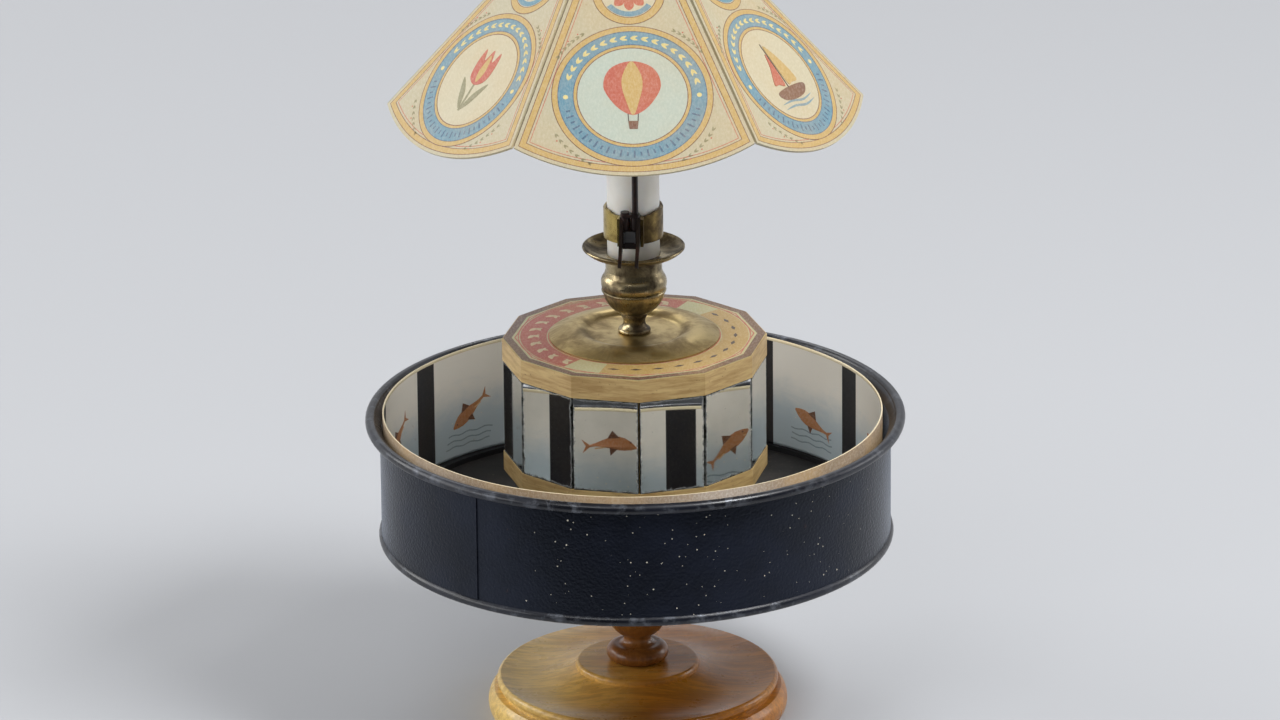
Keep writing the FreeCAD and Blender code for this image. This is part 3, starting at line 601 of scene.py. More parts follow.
def panel_outline(sheet, inset):
    """The panel's edge, moved in by inset: straight sides, a bowed foot."""
    slope = (sheet.half - sheet.top_half) / sheet.height
    shift = inset / math.cos(math.atan2(sheet.half - sheet.top_half, sheet.height))
    radius = (sheet.half ** 2 + sheet.sag ** 2) / (2 * sheet.sag)
    centre_v = radius - sheet.sag
    inner = radius - inset
    top_v = sheet.height - inset
    # where the side line meets the foot's arc
    start = sheet.half - shift
    b = start * slope + centre_v
    c = start ** 2 + centre_v ** 2 - inner ** 2
    low_v = (b - math.sqrt(b * b - (1 + slope ** 2) * c)) / (1 + slope ** 2)
    end = math.atan2(start - slope * low_v, centre_v - low_v)
    loop = []
    steps = 32
    for k in range(steps + 1):
        a = -end + 2 * end * k / steps
        loop.append((inner * math.sin(a), centre_v - inner * math.cos(a)))
    top_u = sheet.half - shift - slope * top_v
    return loop + [(top_u, top_v), (-top_u, top_v)]


def frame_band(sheet, outer, inner):
    return [panel_outline(sheet, outer), panel_outline(sheet, inner)[::-1]]


# Motifs for the shade, drawn in a disc of radius 1. Each gives (colour name, loops) pairs.
def balloon():
    bag = smooth_loop([(0, 0.78), (0.42, 0.62), (0.56, 0.22), (0.36, -0.18), (0.10, -0.40),
                       (-0.10, -0.40), (-0.36, -0.18), (-0.56, 0.22), (-0.42, 0.62)])
    gore = smooth_loop([(0, 0.78), (0.17, 0.5), (0.2, 0.2), (0.1, -0.2), (0.03, -0.4),
                        (-0.03, -0.4), (-0.1, -0.2), (-0.2, 0.2), (-0.17, 0.5)])
    basket = [(-0.1, -0.56), (-0.08, -0.74), (0.08, -0.74), (0.1, -0.56)]
    ropes = [[(s * 0.09, -0.4), (s * 0.11, -0.4), (s * 0.1, -0.57), (s * 0.08, -0.57)]
             for s in (-1, 1)]
    return [("brick", [bag]), ("ochre", [gore]), ("ink", [ropes[0]]), ("ink", [ropes[1]]),
            ("brown", [basket])]


def boat():
    hull = smooth_loop([(-0.5, -0.36), (0.0, -0.30), (0.56, -0.34), (0.42, -0.54), (0.0, -0.6),
                        (-0.4, -0.54)])
    main = smooth_loop([(0.04, 0.68), (0.3, 0.3), (0.44, -0.2), (0.2, -0.24), (0.05, -0.24),
                        (0.02, 0.2)], 4)
    jib = smooth_loop([(-0.06, 0.5), (-0.08, -0.22), (-0.28, -0.2), (-0.44, -0.16),
                       (-0.2, 0.2)], 4)
    mast = [(-0.03, 0.74), (0.0, 0.74), (0.0, -0.32), (-0.03, -0.32)]
    sea = [smooth_loop([(u, v - 0.12 * k) for u, v in
                        ((-0.62, -0.62), (-0.2, -0.58), (0.2, -0.64), (0.6, -0.6), (0.2, -0.69),
                         (-0.2, -0.63))], 4) for k in range(2)]
    return [("blue", [sea[0]]), ("blue", [sea[1]]), ("brown", [hull]), ("ink", [mast]),
            ("ochre", [main]), ("brick", [jib])]


def butterfly():
    wings = []
    for s in (-1, 1):
        upper = smooth_loop([(s * 0.05, 0.1), (s * 0.2, 0.5), (s * 0.56, 0.66), (s * 0.68, 0.36),
                             (s * 0.4, 0.04), (s * 0.06, -0.04)])
        lower = smooth_loop([(s * 0.05, -0.06), (s * 0.36, -0.06), (s * 0.52, -0.34),
                             (s * 0.3, -0.56), (s * 0.12, -0.38)])
        spot = circle(s * 0.45, 0.42, 0.1, 20)
        wings += [("ochre", [upper]), ("brick", [lower]), ("blue", [spot])]
    body = smooth_loop([(0, 0.3), (0.05, 0.1), (0.04, -0.4), (0, -0.52), (-0.04, -0.4),
                        (-0.05, 0.1)])
    return wings + [("ink", [body])]


def kite():
    left = [(0.1, 0.72), (-0.34, 0.2), (-0.12, -0.3)]
    right = [(0.1, 0.72), (-0.12, -0.3), (0.4, 0.1)]
    tail = []
    for k in range(5):
        u, v = -0.16 - 0.05 * k - 0.08 * math.sin(k * 1.7), -0.36 - 0.1 * k
        tail.append(("brown", [[(u, v), (u + 0.11, v + 0.05), (u + 0.11, v - 0.05)]]))
        tail.append(("brown", [[(u, v), (u - 0.11, v - 0.05), (u - 0.11, v + 0.05)]]))
    return [("brick", [left]), ("ochre", [right])] + tail


def swallow():
    body = smooth_loop([(-0.56, 0.12), (-0.34, 0.2), (0.0, 0.08), (0.3, -0.1), (0.66, -0.22),
                        (0.3, -0.2), (0.62, -0.4), (0.16, -0.22), (-0.2, -0.08), (-0.44, 0.0)])
    wing_a = smooth_loop([(-0.26, 0.12), (0.0, 0.44), (0.46, 0.62), (0.24, 0.3), (0.06, 0.04)])
    wing_b = smooth_loop([(-0.2, -0.02), (-0.24, -0.34), (-0.02, -0.68), (0.04, -0.36),
                          (0.1, -0.08)])
    chest = smooth_loop([(-0.5, 0.08), (-0.36, 0.1), (-0.18, -0.02), (-0.36, -0.02)])
    return [("ink", [wing_a]), ("blue_deep", [body]), ("ink", [wing_b]), ("brick", [chest])]


def tulip():
    stalk = [(-0.03, -0.1), (0.03, -0.1), (0.04, -0.74), (-0.03, -0.74)]
    leaves = [smooth_loop([(s * 0.02, -0.7), (s * 0.22, -0.5), (s * 0.44, -0.02), (s * 0.16, -0.3)])
              for s in (-1, 1)]
    cup = smooth_loop([(0, -0.12), (0.26, 0.02), (0.32, 0.36), (0.26, 0.68), (0.13, 0.44), (0, 0.7),
                       (-0.13, 0.44), (-0.26, 0.68), (-0.32, 0.36), (-0.26, 0.02)])
    heart = smooth_loop([(0, -0.06), (0.1, 0.2), (0, 0.58), (-0.1, 0.2)])
    return [("leaf", [stalk]), ("leaf", [leaves[0]]), ("leaf", [leaves[1]]), ("brick", [cup]),
            ("ochre", [heart])]


MOTIFS = [balloon, boat, butterfly, kite, swallow, tulip]


def leaf_pair(u, v, turn, size):
    """Two small leaves on either side of a stalk."""
    leaf = smooth_loop([(0, 0), (0.9, 0.8), (2.6, 0.9), (1.3, -0.1)], 4)
    other = [(x, -y) for x, y in leaf]
    return [[moved(leaf, u, v, turn, size)], [moved(other, u, v, turn, size)[::-1]]]


MEDAL_R = 30.1 * MM
RING_MIDDLE = MEDAL_R * 0.897
PICTURE_R = MEDAL_R * 0.738
ROUNDEL_R = 14.5 * MM


def print_border(sheet, tag, inks):
    """Ochre border between brown lines, and a red line inside it."""
    edge, band, line, gap = 1.7 * MM, 2.3 * MM, 0.3 * MM, 1.1 * MM
    inner = edge + band
    ink(sheet, tag + "border", [frame_band(sheet, edge, inner)], inks["ochre"])
    ink(sheet, tag + "edges", [frame_band(sheet, edge - line, edge),
                               frame_band(sheet, inner, inner + line)], inks["brown"])
    ink(sheet, tag + "keyline", [frame_band(sheet, inner + gap, inner + gap + line)], inks["red"])


def print_ring(medal, tag, inks):
    """Blue ring between ochre ones: leaves in its upper half, ticks below, a bead at each end."""
    r = MEDAL_R
    ink(medal, tag + "rings", hoops(0, r, (1.078, 1.0), (0.794, 0.75)), inks["ochre"], 2)
    ink(medal, tag + "ring", hoops(0, r, (1.0, 0.794)), inks["blue"], 2)
    ink(medal, tag + "ringlines", hoops(0, r, (1.088, 1.078), (0.75, 0.738)), inks["brown"], 3)
    ink(medal, tag + "ringlines_dark", hoops(0, r, (1.005, 0.995), (0.8, 0.79)),
        inks["blue_deep"], 4)
    leaves, ticks = [], []
    for degrees in row(17, 163, 17):
        a = math.radians(degrees)
        leaves += leaf_pair(RING_MIDDLE * math.cos(a), RING_MIDDLE * math.sin(a), degrees - 90,
                            1.15 * MM)
    for j, degrees in enumerate(row(194, 346, 27)):
        half = r * (0.055 if j % 2 else 0.03)
        ticks.append(arc_band(0, RING_MIDDLE - half, RING_MIDDLE + half,
                              degrees - 0.8, degrees + 0.8, 2))
    beads = [[circle(side * RING_MIDDLE, 0, r * 0.034, 20)] for side in (-1, 1)]
    ink(medal, tag + "leaves", leaves, inks["straw"], 3)
    ink(medal, tag + "ticks", ticks, inks["blue_deep"], 3)
    ink(medal, tag + "beads", beads, inks["straw"], 3)


def print_picture(medal, tag, k, inks):
    """Pale disc with one motif, whose parts lie on each other in layers."""
    ground = inks["disc" if k == 0 else "pale"]
    ink(medal, tag + "disc", [[circle(0, 0, PICTURE_R, HOOP_STEPS)]], ground, 2)
    for j, (colour, loops) in enumerate(MOTIFS[k % len(MOTIFS)]()):
        loops = [moved(loop, size=MEDAL_R * 0.69) for loop in loops]
        ink(medal, tag + "motif_%d" % j, [loops], inks[colour], 3 + j)


def print_roundel(medal, tag, v, inks):
    """Small roundel with a flower of eight petals."""
    r = ROUNDEL_R
    petal = smooth_loop([(0.12, 0), (0.55, 0.2), (0.8, 0), (0.55, -0.2)], 5)
    petals = [[moved(petal, 0, v, 45 * j, r * 0.7)] for j in range(8)]
    arc = [arc_band(v, r * 0.6, r * 0.76, 215, 325, 16)]
    ink(medal, tag + "roundel", hoops(v, r, (1.0, 0.8)), inks["ochre"], 2)
    ink(medal, tag + "roundel_lines", hoops(v, r, (1.02, 1.0), (0.8, 0.78)), inks["brown"], 3)
    ink(medal, tag + "roundel_disc", [[circle(0, v, r * 0.78)]], inks["pale"], 2)
    ink(medal, tag + "rosette", petals, inks["red"], 3)
    ink(medal, tag + "rosette_arc", arc, inks["blue"], 4)


def print_sprigs(medal, tag, inks):
    """Four sprigs with berries about the ring."""
    sprigs, berries = [], []
    for first, last in ((34, 58), (122, 146), (208, 238), (302, 332)):
        reach = MEDAL_R * (1.16 if first < 180 else 1.19)
        for j, degrees in enumerate(row(first, last, 7)):
            a = math.radians(degrees)
            u, v = reach * math.cos(a), reach * math.sin(a)
            sprigs += leaf_pair(u, v, degrees + 90, 0.75 * MM)
            if j % 2:
                berries.append([circle(u * 1.035, v * 1.035, 0.35 * MM, 10)])
    ink(medal, tag + "sprigs", sprigs, inks["leaf"])
    ink(medal, tag + "berries", berries, inks["red"], 2)


def print_panel(k, inks):
    """Border, ring round a picture, roundel above and sprigs about the ring."""
    sheet = panel_sheet(PANEL_NAMES[k])
    tag = "print_%d_" % (k + 1)
    print_border(sheet, tag, inks)
    centre_v, flatten, roundel_v = sheet.height * 0.226, 0.967, 46.6 * MM

    def medal_place(u, v, height):
        return sheet.place(u, centre_v + v * flatten, height)

    medal = Sheet(medal_place, "shade", "shade_card")
    print_ring(medal, tag, inks)
    print_picture(medal, tag, k, inks)
    print_roundel(medal, tag, roundel_v / flatten, inks)
    print_sprigs(medal, tag, inks)


def dress_shade():
    """Prints the panels, and gives back the inks for the drum's label."""
    colours = (("ochre", OCHRE, 0.8), ("blue", BLUE, 0.8), ("blue_deep", BLUE_DEEP, 0.6),
               ("red", RED_LINE, 0.6), ("disc", PALE_DISC, 0.7), ("brick", BRICK, 0.6),
               ("leaf", LEAF, 0.6), ("straw", STRAW, 0.6), ("pale", PALE_PAPER, 0.7),
               ("brown", BROWN_LINE, 0.5))
    inks = {name: paper("ink_" + name, colour, age) for name, colour, age in colours}
    inks["ink"] = paper("ink_dark", INK, 0.3, rubbed=0.04)
    dress(paper("shade_card_face", CREAM, 0.9, 0.2), *PANEL_NAMES)
    # The tapes are dark brown: painted shade in the seams between the panels, over paler tape.
    dress(paper("tape_paper", rgb(70, 46, 28), 0.8, 0.1), "shade_tapes")
    for k in range(PANELS):
        print_panel(k, inks)
    return inks


# The picture strip, its bars, its lap and its fish
FRAMES = 12
FIRST_BAR = math.radians(90 - 2.4)
BAR_HALF = math.radians(3.35)
STRIP_CARD = 0.6 * MM
STRIP_STEPS = 720
STRIP_MARGIN = 1.2 * MM
LAP_MIDDLE = math.radians(-128)
LAP_HALF = 6.5 * MM
LAP_LAYER = 8
FISH_LENGTH = 20 * MM
SPINE_POINTS = 9

# Finishes of the card, and those of its profile's sides, up its back and down its inside
PLAIN, SKY, BAR, BACK = range(4)
SIDE_KINDS = (BACK, PLAIN, PLAIN, SKY, SKY, PLAIN)
SIDES = len(SIDE_KINDS)


def strip_wave(a):
    """How far the card stands out of round at an angle."""
    return 0.12 * MM * math.sin(5 * a + 1)


def strip_sheet():
    """Inside of the picture strip. u is the angle round it and v the height in the frame."""
    low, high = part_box("picture_strip")
    cx, cy = (low.x + high.x) / 2, (low.y + high.y) / 2
    r_out = (high.x - low.x) / 2
    r_in = r_out - STRIP_CARD

    def place(a, v, height):
        r = r_in + strip_wave(a) - height
        return Vector((cx + r * math.cos(a), cy + r * math.sin(a), v))

    return Sheet(place, "strip", "strip_card", cx=cx, cy=cy, r_out=r_out, r_in=r_in, low=low.z,
                 high=high.z, height=high.z - low.z)


def strip_profile(sheet, a):
    """Radius and height of the card's corners at an angle, up its back and down its inside.
    The top edge is a little uneven, as scissors leave it."""
    uneven = 1 + math.sin(3 * a + 0.5) * 0.6 + math.sin(11 * a) * 0.25
    top = sheet.high - 0.25 * MM * uneven
    back, inside = sheet.r_out + min(strip_wave(a), 0), sheet.r_in + strip_wave(a)
    return [(back, sheet.low), (back, top), (inside, top), (inside, top - STRIP_MARGIN),
            (inside, sheet.low + STRIP_MARGIN), (inside, sheet.low)]


def strip_kind(side, k):
    """Finish of one side of the profile at step k. Bars stand between the pictures' skies."""
    a = 2 * math.pi * (k + 0.5) / STRIP_STEPS
    half = math.pi / FRAMES
    from_bar = (a - FIRST_BAR + half) % (2 * half) - half
    kind = SIDE_KINDS[side]
    return BAR if kind == SKY and abs(from_bar) < BAR_HALF else kind


def make_loop(sheet, sky):
    """The card itself, as a closed loop."""
    points, faces, kinds = [], [], []
    for k in range(STRIP_STEPS):
        a = 2 * math.pi * k / STRIP_STEPS
        points += [(sheet.cx + r * math.cos(a), sheet.cy + r * math.sin(a), z)
                   for r, z in strip_profile(sheet, a)]
        here, after = SIDES * k, SIDES * ((k + 1) % STRIP_STEPS)
        for j in range(SIDES):
            n = (j + 1) % SIDES
            faces.append((here + j, after + j, after + n, here + n))
            kinds.append(strip_kind(j, k))
    plain = paper("strip_card_plain", rgb(226, 212, 176), 1.0, 0.1)
    bar = paper("strip_bar", rgb(30, 29, 34), 0.1, 0.15, rubbed=0.015)
    # The back is tan card, painted darker as shade in the gap between the strip and the wall.
    back = paper("strip_back_shaded", rgb(118, 96, 68), 1.2, 0.1)
    strip = mesh_piece("strip_loop", points, faces, plain, "strip")
    for material in (sky, bar, back):
        strip.data.materials.append(material)
    strip.data.polygons.foreach_set("material_index", kinds)
    for face in strip.data.polygons:
        face.use_smooth = abs(face.normal.z) < 0.5
    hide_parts("picture_strip")


def fish(bend):
    """A leaping fish about 1 long. bend, from -1 to 1, arches its back."""
    spine = []
    for k in range(SPINE_POINTS):
        t = k / (SPINE_POINTS - 1)
        spine.append((t - 0.5, bend * 0.34 * (0.25 - (t - 0.5) ** 2)))
    widths = [0.02, 0.1, 0.15, 0.165, 0.15, 0.115, 0.075, 0.04, 0.03]
    upper = [(x, y + w) for (x, y), w in zip(spine, widths)]
    lower = [(x, y - w * 0.85) for (x, y), w in zip(spine, widths)]
    x, y = spine[-1]
    tail = [(x + 0.17, y + 0.15), (x + 0.08, y), (x + 0.15, y - 0.16)]
    return upper + tail + lower[::-1]


def print_fish(sheet, tag, a, phase, inks):
    """Body, belly, fins and eye. They are drawn with u to the right as seen from the middle."""
    hop = math.sin(phase / 2) ** 2
    z = sheet.low + sheet.height * (0.30 + 0.34 * hop)
    turn = 38 * math.cos(phase + math.pi / 2)
    bend = -0.6 + 1.5 * hop
    outline = fish(bend)
    back = outline[:SPINE_POINTS]
    belly = ([(u * 0.78, v * 0.34 - 0.045) for u, v in back]
             + [(u * 0.78, v * 0.34 - 0.075) for u, v in back[::-1]])
    fins = [[(-0.14, 0.14), (0.02, 0.3), (0.12, 0.12)],
            [(-0.1, -0.1), (0.06, -0.26), (0.08, -0.08)],
            circle(-0.37, 0.03 + bend * 0.03, 0.022, 10)]
    fins = [[(u, v + bend * 0.07) for u, v in loop] for loop in fins]

    def laid(loop):
        return [(a - u / sheet.r_in, z + v)
                for u, v in moved(loop, 0, 0, turn, FISH_LENGTH)][::-1]

    parts = (("body", [outline]), ("belly", [belly]), ("fins", fins))
    for layer, (part, loops) in enumerate(parts, 2):
        ink(sheet, tag + part, [[laid(loop)] for loop in loops], inks[part], layer)


def print_sea(sheet, tag, a, phase, k, inks):
    """Three lines of waves, and drops that fly about above them."""
    waves, drops = [], []

    def laid(loop, z):
        return [(a - u * FISH_LENGTH / sheet.r_in, z + v * FISH_LENGTH) for u, v in loop]

    for j in range(3):
        sway = 0.05 * math.sin(phase + j)
        crest = [(-0.62 + 1.24 * i / 12 + sway, 0.02 * math.sin(i * 1.4 + phase * 2 + j) + 0.012)
                 for i in range(13)]
        trough = [(u, v - 0.03) for u, v in crest[::-1]]
        waves.append([laid(crest + trough, sheet.low + sheet.height * (0.10 + 0.055 * j))])
    for j in range(5):
        u = (0.1 + 0.09 * j) * (1 if j % 2 else -1)
        v = 0.1 + 0.05 * ((j * 7 + k) % 4) + 0.02 * math.sin(phase * 3 + j * 1.3)
        drops.append([laid(circle(u, v, 0.018, 8), sheet.low + sheet.height * 0.24)])
    ink(sheet, tag + "sea", waves, inks["sea"], 1)
    ink(sheet, tag + "drops", drops, inks["drops"], 2)


def make_strip():
    """Loop of card with twelve framed pictures on its inside, whose ends overlap."""
    sheet = strip_sheet()
    sky = strip_sky(sheet.low, sheet.high)
    make_loop(sheet, sky)
    low, high = sheet.low + 0.2 * MM, sheet.high - 1.0 * MM
    lap = [(LAP_MIDDLE + side * LAP_HALF / sheet.r_in, z)
           for side, z in ((1, low), (-1, low), (-1, high), (1, high))]
    ink(sheet, "strip_lap", [[lap]], sky, LAP_LAYER)
    colours = (("body", "orange", FISH_ORANGE, 0.5), ("belly", "belly", rgb(226, 184, 132), 0.4),
               ("fins", "brown", BROWN_LINE, 0.4), ("sea", "water", rgb(136, 158, 168), 0.5),
               ("drops", "foam", rgb(222, 224, 218), 0.5))
    inks = {part: paper("strip_" + name, colour, age, 0.1) for part, name, colour, age in colours}
    for k in range(FRAMES):
        phase = 2 * math.pi * k / FRAMES
        middle = FIRST_BAR - math.pi / FRAMES - phase
        drift = (k % 3 - 1) * 0.006
        tag = "fish_%02d_" % (k + 1)
        print_fish(sheet, tag, middle + drift, phase, inks)
        print_sea(sheet, tag, middle, phase, k, inks)


LABEL_INNER, LABEL_OUTER = 36.5 * MM, 47.5 * MM


def ring_places(first, step, count):
    """Places in the middle of the label's coloured band, with their angles in degrees."""
    middle = (LABEL_INNER + LABEL_OUTER) / 2
    for j in range(count):
        degrees = first + j * step
        a = math.radians(degrees)
        yield middle * math.cos(a), middle * math.sin(a), degrees


def print_label(inks):
    """Bands and rings on the drum's top, with a row of leaves where a maker would put a name."""
    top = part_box("top_label")[1].z
    corner = max(math.hypot(v.co.x, v.co.y) for v in NODES["top_label"].data.vertices)
    border = paper("label_border", rgb(92, 58, 34), 0.8, 0.15)
    red = paper("label_red", rgb(166, 66, 46), 0.9, 0.15)
    yellow = paper("label_yellow", rgb(176, 144, 78), 0.9, 0.15)
    cream = paper("label_cream", rgb(204, 186, 146), 0.9, 0.15)
    dress(paper("label_ground", rgb(180, 178, 132), 1.2, 0.15), "top_label")

    def place(u, v, height):
        return Vector((u, v, top + height))

    def edge(outer, inner):
        turns = [MIRROR_CORNER + 2 * math.pi * k / MIRRORS for k in range(MIRRORS)]
        outside, inside = ([(corner * share * math.cos(a), corner * share * math.sin(a))
                            for a in turns] for share in (outer, inner))
        return [outside, inside[::-1]]

    sheet = Sheet(place, "drum", "label_paper")
    r0, r1, line = LABEL_INNER, LABEL_OUTER, 0.5 * MM
    ink(sheet, "label_edge", [edge(1.0, 0.935)], border)
    ink(sheet, "label_edge_line", [edge(0.915, 0.905)], inks["red"])
    ink(sheet, "label_red_band", [arc_band(0, r0, r1, 62, 232, 90)], red)
    ink(sheet, "label_yellow_band", [arc_band(0, r0, r1, -108, 42, 80)], yellow)
    ink(sheet, "label_rings",
        [hoop(0, r1 + 2 * line, r1 + line), hoop(0, r0 - line, r0 - 2 * line)], inks["red"], 2)
    leaf = smooth_loop([(0, 0), (1.6, 1.3), (4.6, 0.2), (1.8, -1.1)], 4)
    leaves, beads = [], []
    for u, v, degrees in ring_places(70, 12, 14):
        leaves.append([moved(leaf, u, v, degrees + 60, MM)])
        leaves.append([moved(leaf, u, v, degrees + 130, 0.8 * MM)])
        beads.append([circle(u * 0.955, v * 0.955, 0.6 * MM, 12)])
    diamond = [(2.6, 0), (0, 0.9), (-2.6, 0), (0, -0.9)]
    marks = [[moved(diamond, u, v, degrees + 90, MM)]
             for u, v, degrees in ring_places(-102, 12.6, 12)]
    ink(sheet, "label_leaves", leaves, cream, 2)
    ink(sheet, "label_beads", beads, cream, 2)
    ink(sheet, "label_marks", marks, inks["ink"], 2)


DRIPS = ((-62, 11 * MM), (148, 9 * MM), (75, 7 * MM))
DRIP_STEPS, DRIP_RING = 12, 10


def drip_points(radius, top, a, length):
    """Rings of a run of wax at the angle a, which swells downwards and is rounded off."""
    points = []
    for k in range(DRIP_STEPS + 1):
        t = k / DRIP_STEPS
        is_end = k == DRIP_STEPS
        z = top - length * t - (0.6 * MM if is_end else 0)
        width = 1.1 * MM * (0.8 + 0.9 * t ** 4) * (0.25 if is_end else 1)
        for j in range(DRIP_RING):
            b = 2 * math.pi * j / DRIP_RING
            out = radius - 0.4 * MM + width * math.cos(b) * 0.7
            side = width * math.sin(b)
            points.append((out * math.cos(a) - side * math.sin(a),
                           out * math.sin(a) + side * math.cos(a), z))
    return points


def drip_faces():
    faces = []
    for k in range(DRIP_STEPS):
        for j in range(DRIP_RING):
            a, b = k * DRIP_RING + j, k * DRIP_RING + (j + 1) % DRIP_RING
            faces.append((a, a + DRIP_RING, b + DRIP_RING, b))
    last = DRIP_STEPS * DRIP_RING
    faces.append(tuple(range(DRIP_RING)))
    faces.append(tuple(range(last, last + DRIP_RING))[::-1])
    return faces


def make_wax_drips():
    """Short runs of wax below the candle's top, above the clip's highest place."""
    low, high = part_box("candle")
    wax = NODES["candle"].data.materials[0]
    for n, (degrees, length) in enumerate(DRIPS):
        points = drip_points((high.x - low.x) / 2, high.z - 2.2 * MM, math.radians(degrees), length)
        mesh_piece("wax_drip_%d" % (n + 1), points, drip_faces(), wax, "candle", smooth=True)


def dress_metal_and_wood():
    dress(foot_wood("foot_wood_disc", "X", rgb(208, 138, 46), rgb(162, 96, 24), True), "foot_base")
    # The stem's wood has darker colours than the disc's: painted shade under the drum.
    dress(foot_wood("foot_wood_stem_shaded", "Z", rgb(146, 92, 40), rgb(98, 56, 22), False), "foot_stem")
    dress(plain_wood(), "drum_hub")
    dress(steel(), "spindle", "hub_screws", "jaw_spring")
    dress(wall_enamel(), "drum_wall")
    dress(edge_enamel(), "drum_top_rim", "drum_bottom_rim")
    dress(floor_black(), "drum_floor", "mirror_plinth")
    dress(ledge_black(), "strip_ledge")
    dress(band_wood(), "mirror_base", "mirror_top", "mirror_core")
    dress(mirror_glass(), *MIRROR_NAMES)
    dress(old_brass("old_brass", rgb(180, 164, 128), rgb(58, 46, 31), 0.68),
          "candlestick_peg", "candlestick_stem", "drip_pan")
    dress(old_brass("saucer_brass", rgb(190, 168, 116), rgb(138, 118, 80), 0.6, 0.14),
          "candlestick_saucer")
    # One brass for both jaws, in two copies: the left jaw's bright one is a painted highlight, the
    # right jaw's dull one painted shade.
    dress(old_brass("clip_brass", rgb(188, 166, 100), rgb(104, 84, 46), 0.35), "left_jaw")
    dress(old_brass("clip_brass_shaded", rgb(146, 124, 76), rgb(82, 66, 40), 0.7), "right_jaw")
    dress(old_brass("bearing_brass", rgb(186, 160, 96), rgb(120, 96, 50), 0.2),
          "thrust_washer", "hub_bush", "pivot_cup")
    dress(dark_iron(), "clip_yoke", "clip_strap", "left_hinge_pin", "shade_carrier",
          "left_lever", "right_lever")
    dress(candle_wax(), "candle")
    dress(wick_cotton(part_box("wick")[1].z - 6 * MM), "wick")


def make_floor():
    """Pale floor that keeps the object's shadow and takes the background's colour far away.
    Reflections of its front part fade into the dark room there."""
    mesh = bpy.data.meshes.new("floor")
    s = FLOOR_HALF
    fade_from, fade_to = 0.9, 2.0
    lit_to, dark_from = -0.22, -0.42
    mesh.from_pydata([(-s, -s, 0), (s, -s, 0), (s, s, 0), (-s, s, 0)], [], [(0, 1, 2, 3)])
    floor = bpy.data.objects.new("floor", mesh)
    bpy.context.collection.objects.link(floor)
    m = Nodes("floor")
    m.shader(Base_Color=FLOOR_BASE, Roughness=0.9, Specular_IOR_Level=0.1)
    away = m.math("SQRT", m.plus(m.math("POWER", m.axis("X"), 2.0),
                                 m.math("POWER", m.axis("Y"), 2.0)))
    rays = m.add("ShaderNodeLightPath").outputs
    looked_at = m.larger(rays["Is Camera Ray"], rays["Is Glossy Ray"])
    far = m.times(m.span(away, fade_from, fade_to), looked_at)
    in_front = m.times(m.span(m.axis("Y"), lit_to, dark_from), rays["Is Glossy Ray"])
    surface = m.choose(far, m.bsdf, m.add("ShaderNodeEmission", Color=FLOOR_COLOUR))
    surface = m.choose(in_front, surface,
                       m.add("ShaderNodeEmission", Color=FLOOR_COLOUR, Strength=ROOM_FRONT))
    m.link(surface.outputs[0], m.out.inputs["Surface"])
    mesh.materials.append(m.mat)


def make_world():
    """Even light, and a background of the floor's colour. Reflections see a room instead, pale
    behind the object and above it and dark in front."""
    world = bpy.data.worlds.new("world")
    bpy.context.scene.world = world
    w = Tree(world, "Generated")
    room = w.larger(w.span(w.axis("Y"), -0.35, 0.55, ROOM_FRONT, ROOM_BACK),
                    w.span(w.axis("Z"), 0.3, 0.9, 0.0, CEILING))
    lit = w.add("ShaderNodeBackground", Color=(1, 1, 1, 1), Strength=WORLD_LIGHT)
    glossy = w.add("ShaderNodeBackground", Color=FLOOR_COLOUR, Strength=room)
    seen = w.add("ShaderNodeBackground", Color=FLOOR_COLOUR)
    rays = w.add("ShaderNodeLightPath").outputs
    chosen = w.choose(rays["Is Camera Ray"], w.choose(rays["Is Glossy Ray"], lit, glossy), seen)
    w.link(chosen.outputs[0], w.add("ShaderNodeOutputWorld").inputs["Surface"])


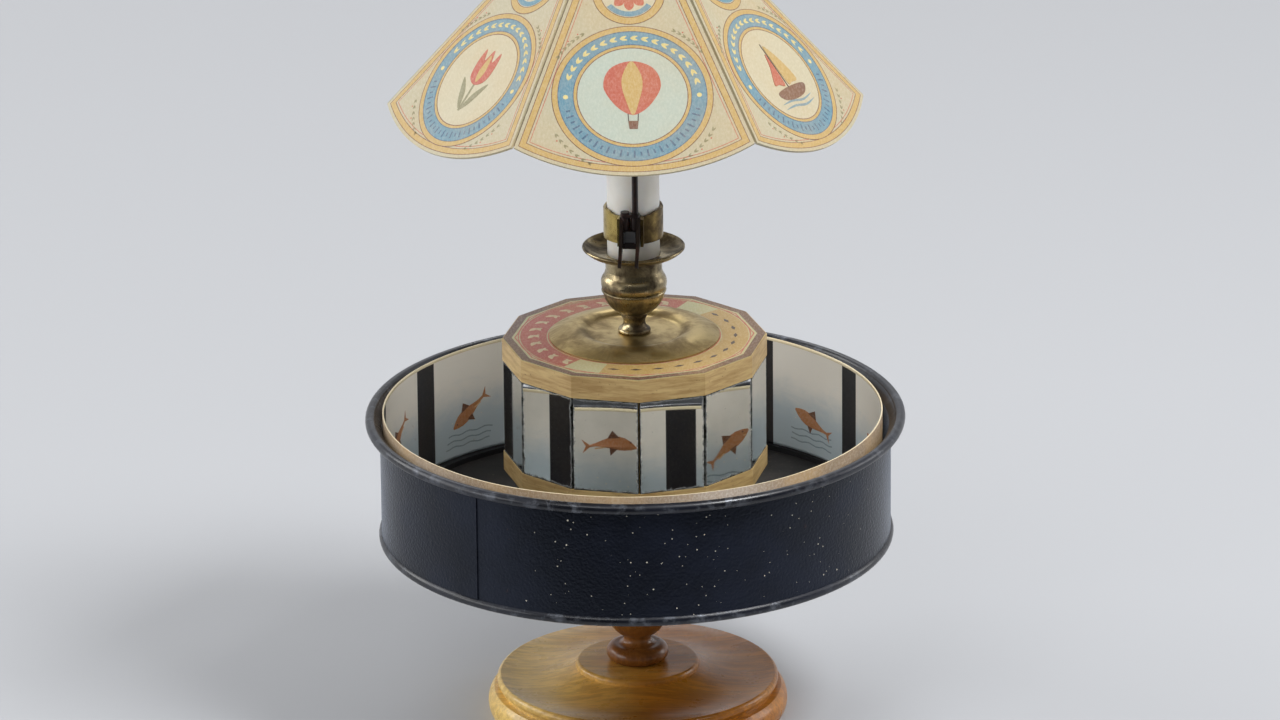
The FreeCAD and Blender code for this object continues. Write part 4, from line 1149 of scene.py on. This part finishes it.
# Name, place, target, size and power of each lamp
AIM = (0, 0, 0.16)
LAMPS = (("key", (1.15, -0.7, 2.05), AIM, (0.8, 0.8), 42),
         ("left_box", (-2.2, 0.6, 1.1), AIM, (1.5, 1.3), 24),
         ("left_low", (-2.3, -1.0, 0.6), AIM, (1.6, 0.9), 18),
         ("front_fill", (-0.9, -1.9, 2.6), (-0.3, -0.3, 0), (1.4, 1.0), 13),
         ("right_low", (2.1, 0.8, 0.8), AIM, (0.8, 1.0), 9),
         ("back_top", (-0.2, 1.9, 2.0), (0, 0.8, 0), (1.6, 1.0), 14))


def area_light(name, place, target, size, power):
    light = bpy.data.lights.new(name, "AREA")
    light.shape = "RECTANGLE"
    light.size, light.size_y = size
    light.energy = power
    lamp = bpy.data.objects.new(name, light)
    bpy.context.collection.objects.link(lamp)
    lamp.location = place
    lamp.rotation_euler = (Vector(target) - Vector(place)).to_track_quat("-Z", "Y").to_euler()


def make_camera():
    """Camera at the photograph's place, worked out from the drum's rims."""
    focal_px, photo_width = 8523.0, 1280.0
    distance, elevation = 3.563, math.radians(20.586)
    pitch, yaw, roll = math.radians(19.831), math.radians(0.038), math.radians(-0.55)
    drum_mid = 0.107
    camera = bpy.data.cameras.new("camera")
    camera.sensor_width = 36.0
    camera.lens = focal_px / photo_width * camera.sensor_width
    camera.clip_end = 50
    eye = bpy.data.objects.new("camera", camera)
    bpy.context.collection.objects.link(eye)
    forward = Vector((math.sin(yaw) * math.cos(pitch), math.cos(yaw) * math.cos(pitch),
                      -math.sin(pitch)))
    right = forward.cross(Vector((0, 0, 1))).normalized()
    up = right.cross(forward)
    turned_right = right * math.cos(roll) + up * math.sin(roll)
    turned_up = up * math.cos(roll) - right * math.sin(roll)
    place = Vector((0, -distance * math.cos(elevation), distance * math.sin(elevation) + drum_mid))
    eye.matrix_world = Matrix.Translation(place) @ Matrix(
        (turned_right, turned_up, -forward)).transposed().to_4x4()
    bpy.context.scene.camera = eye


dress_metal_and_wood()
shade_inks = dress_shade()
make_strip()
print_label(shade_inks)
make_wax_drips()
make_floor()
make_world()
for lamp_values in LAMPS:
    area_light(*lamp_values)
make_camera()
bpy.context.scene.view_settings.view_transform = "Standard"
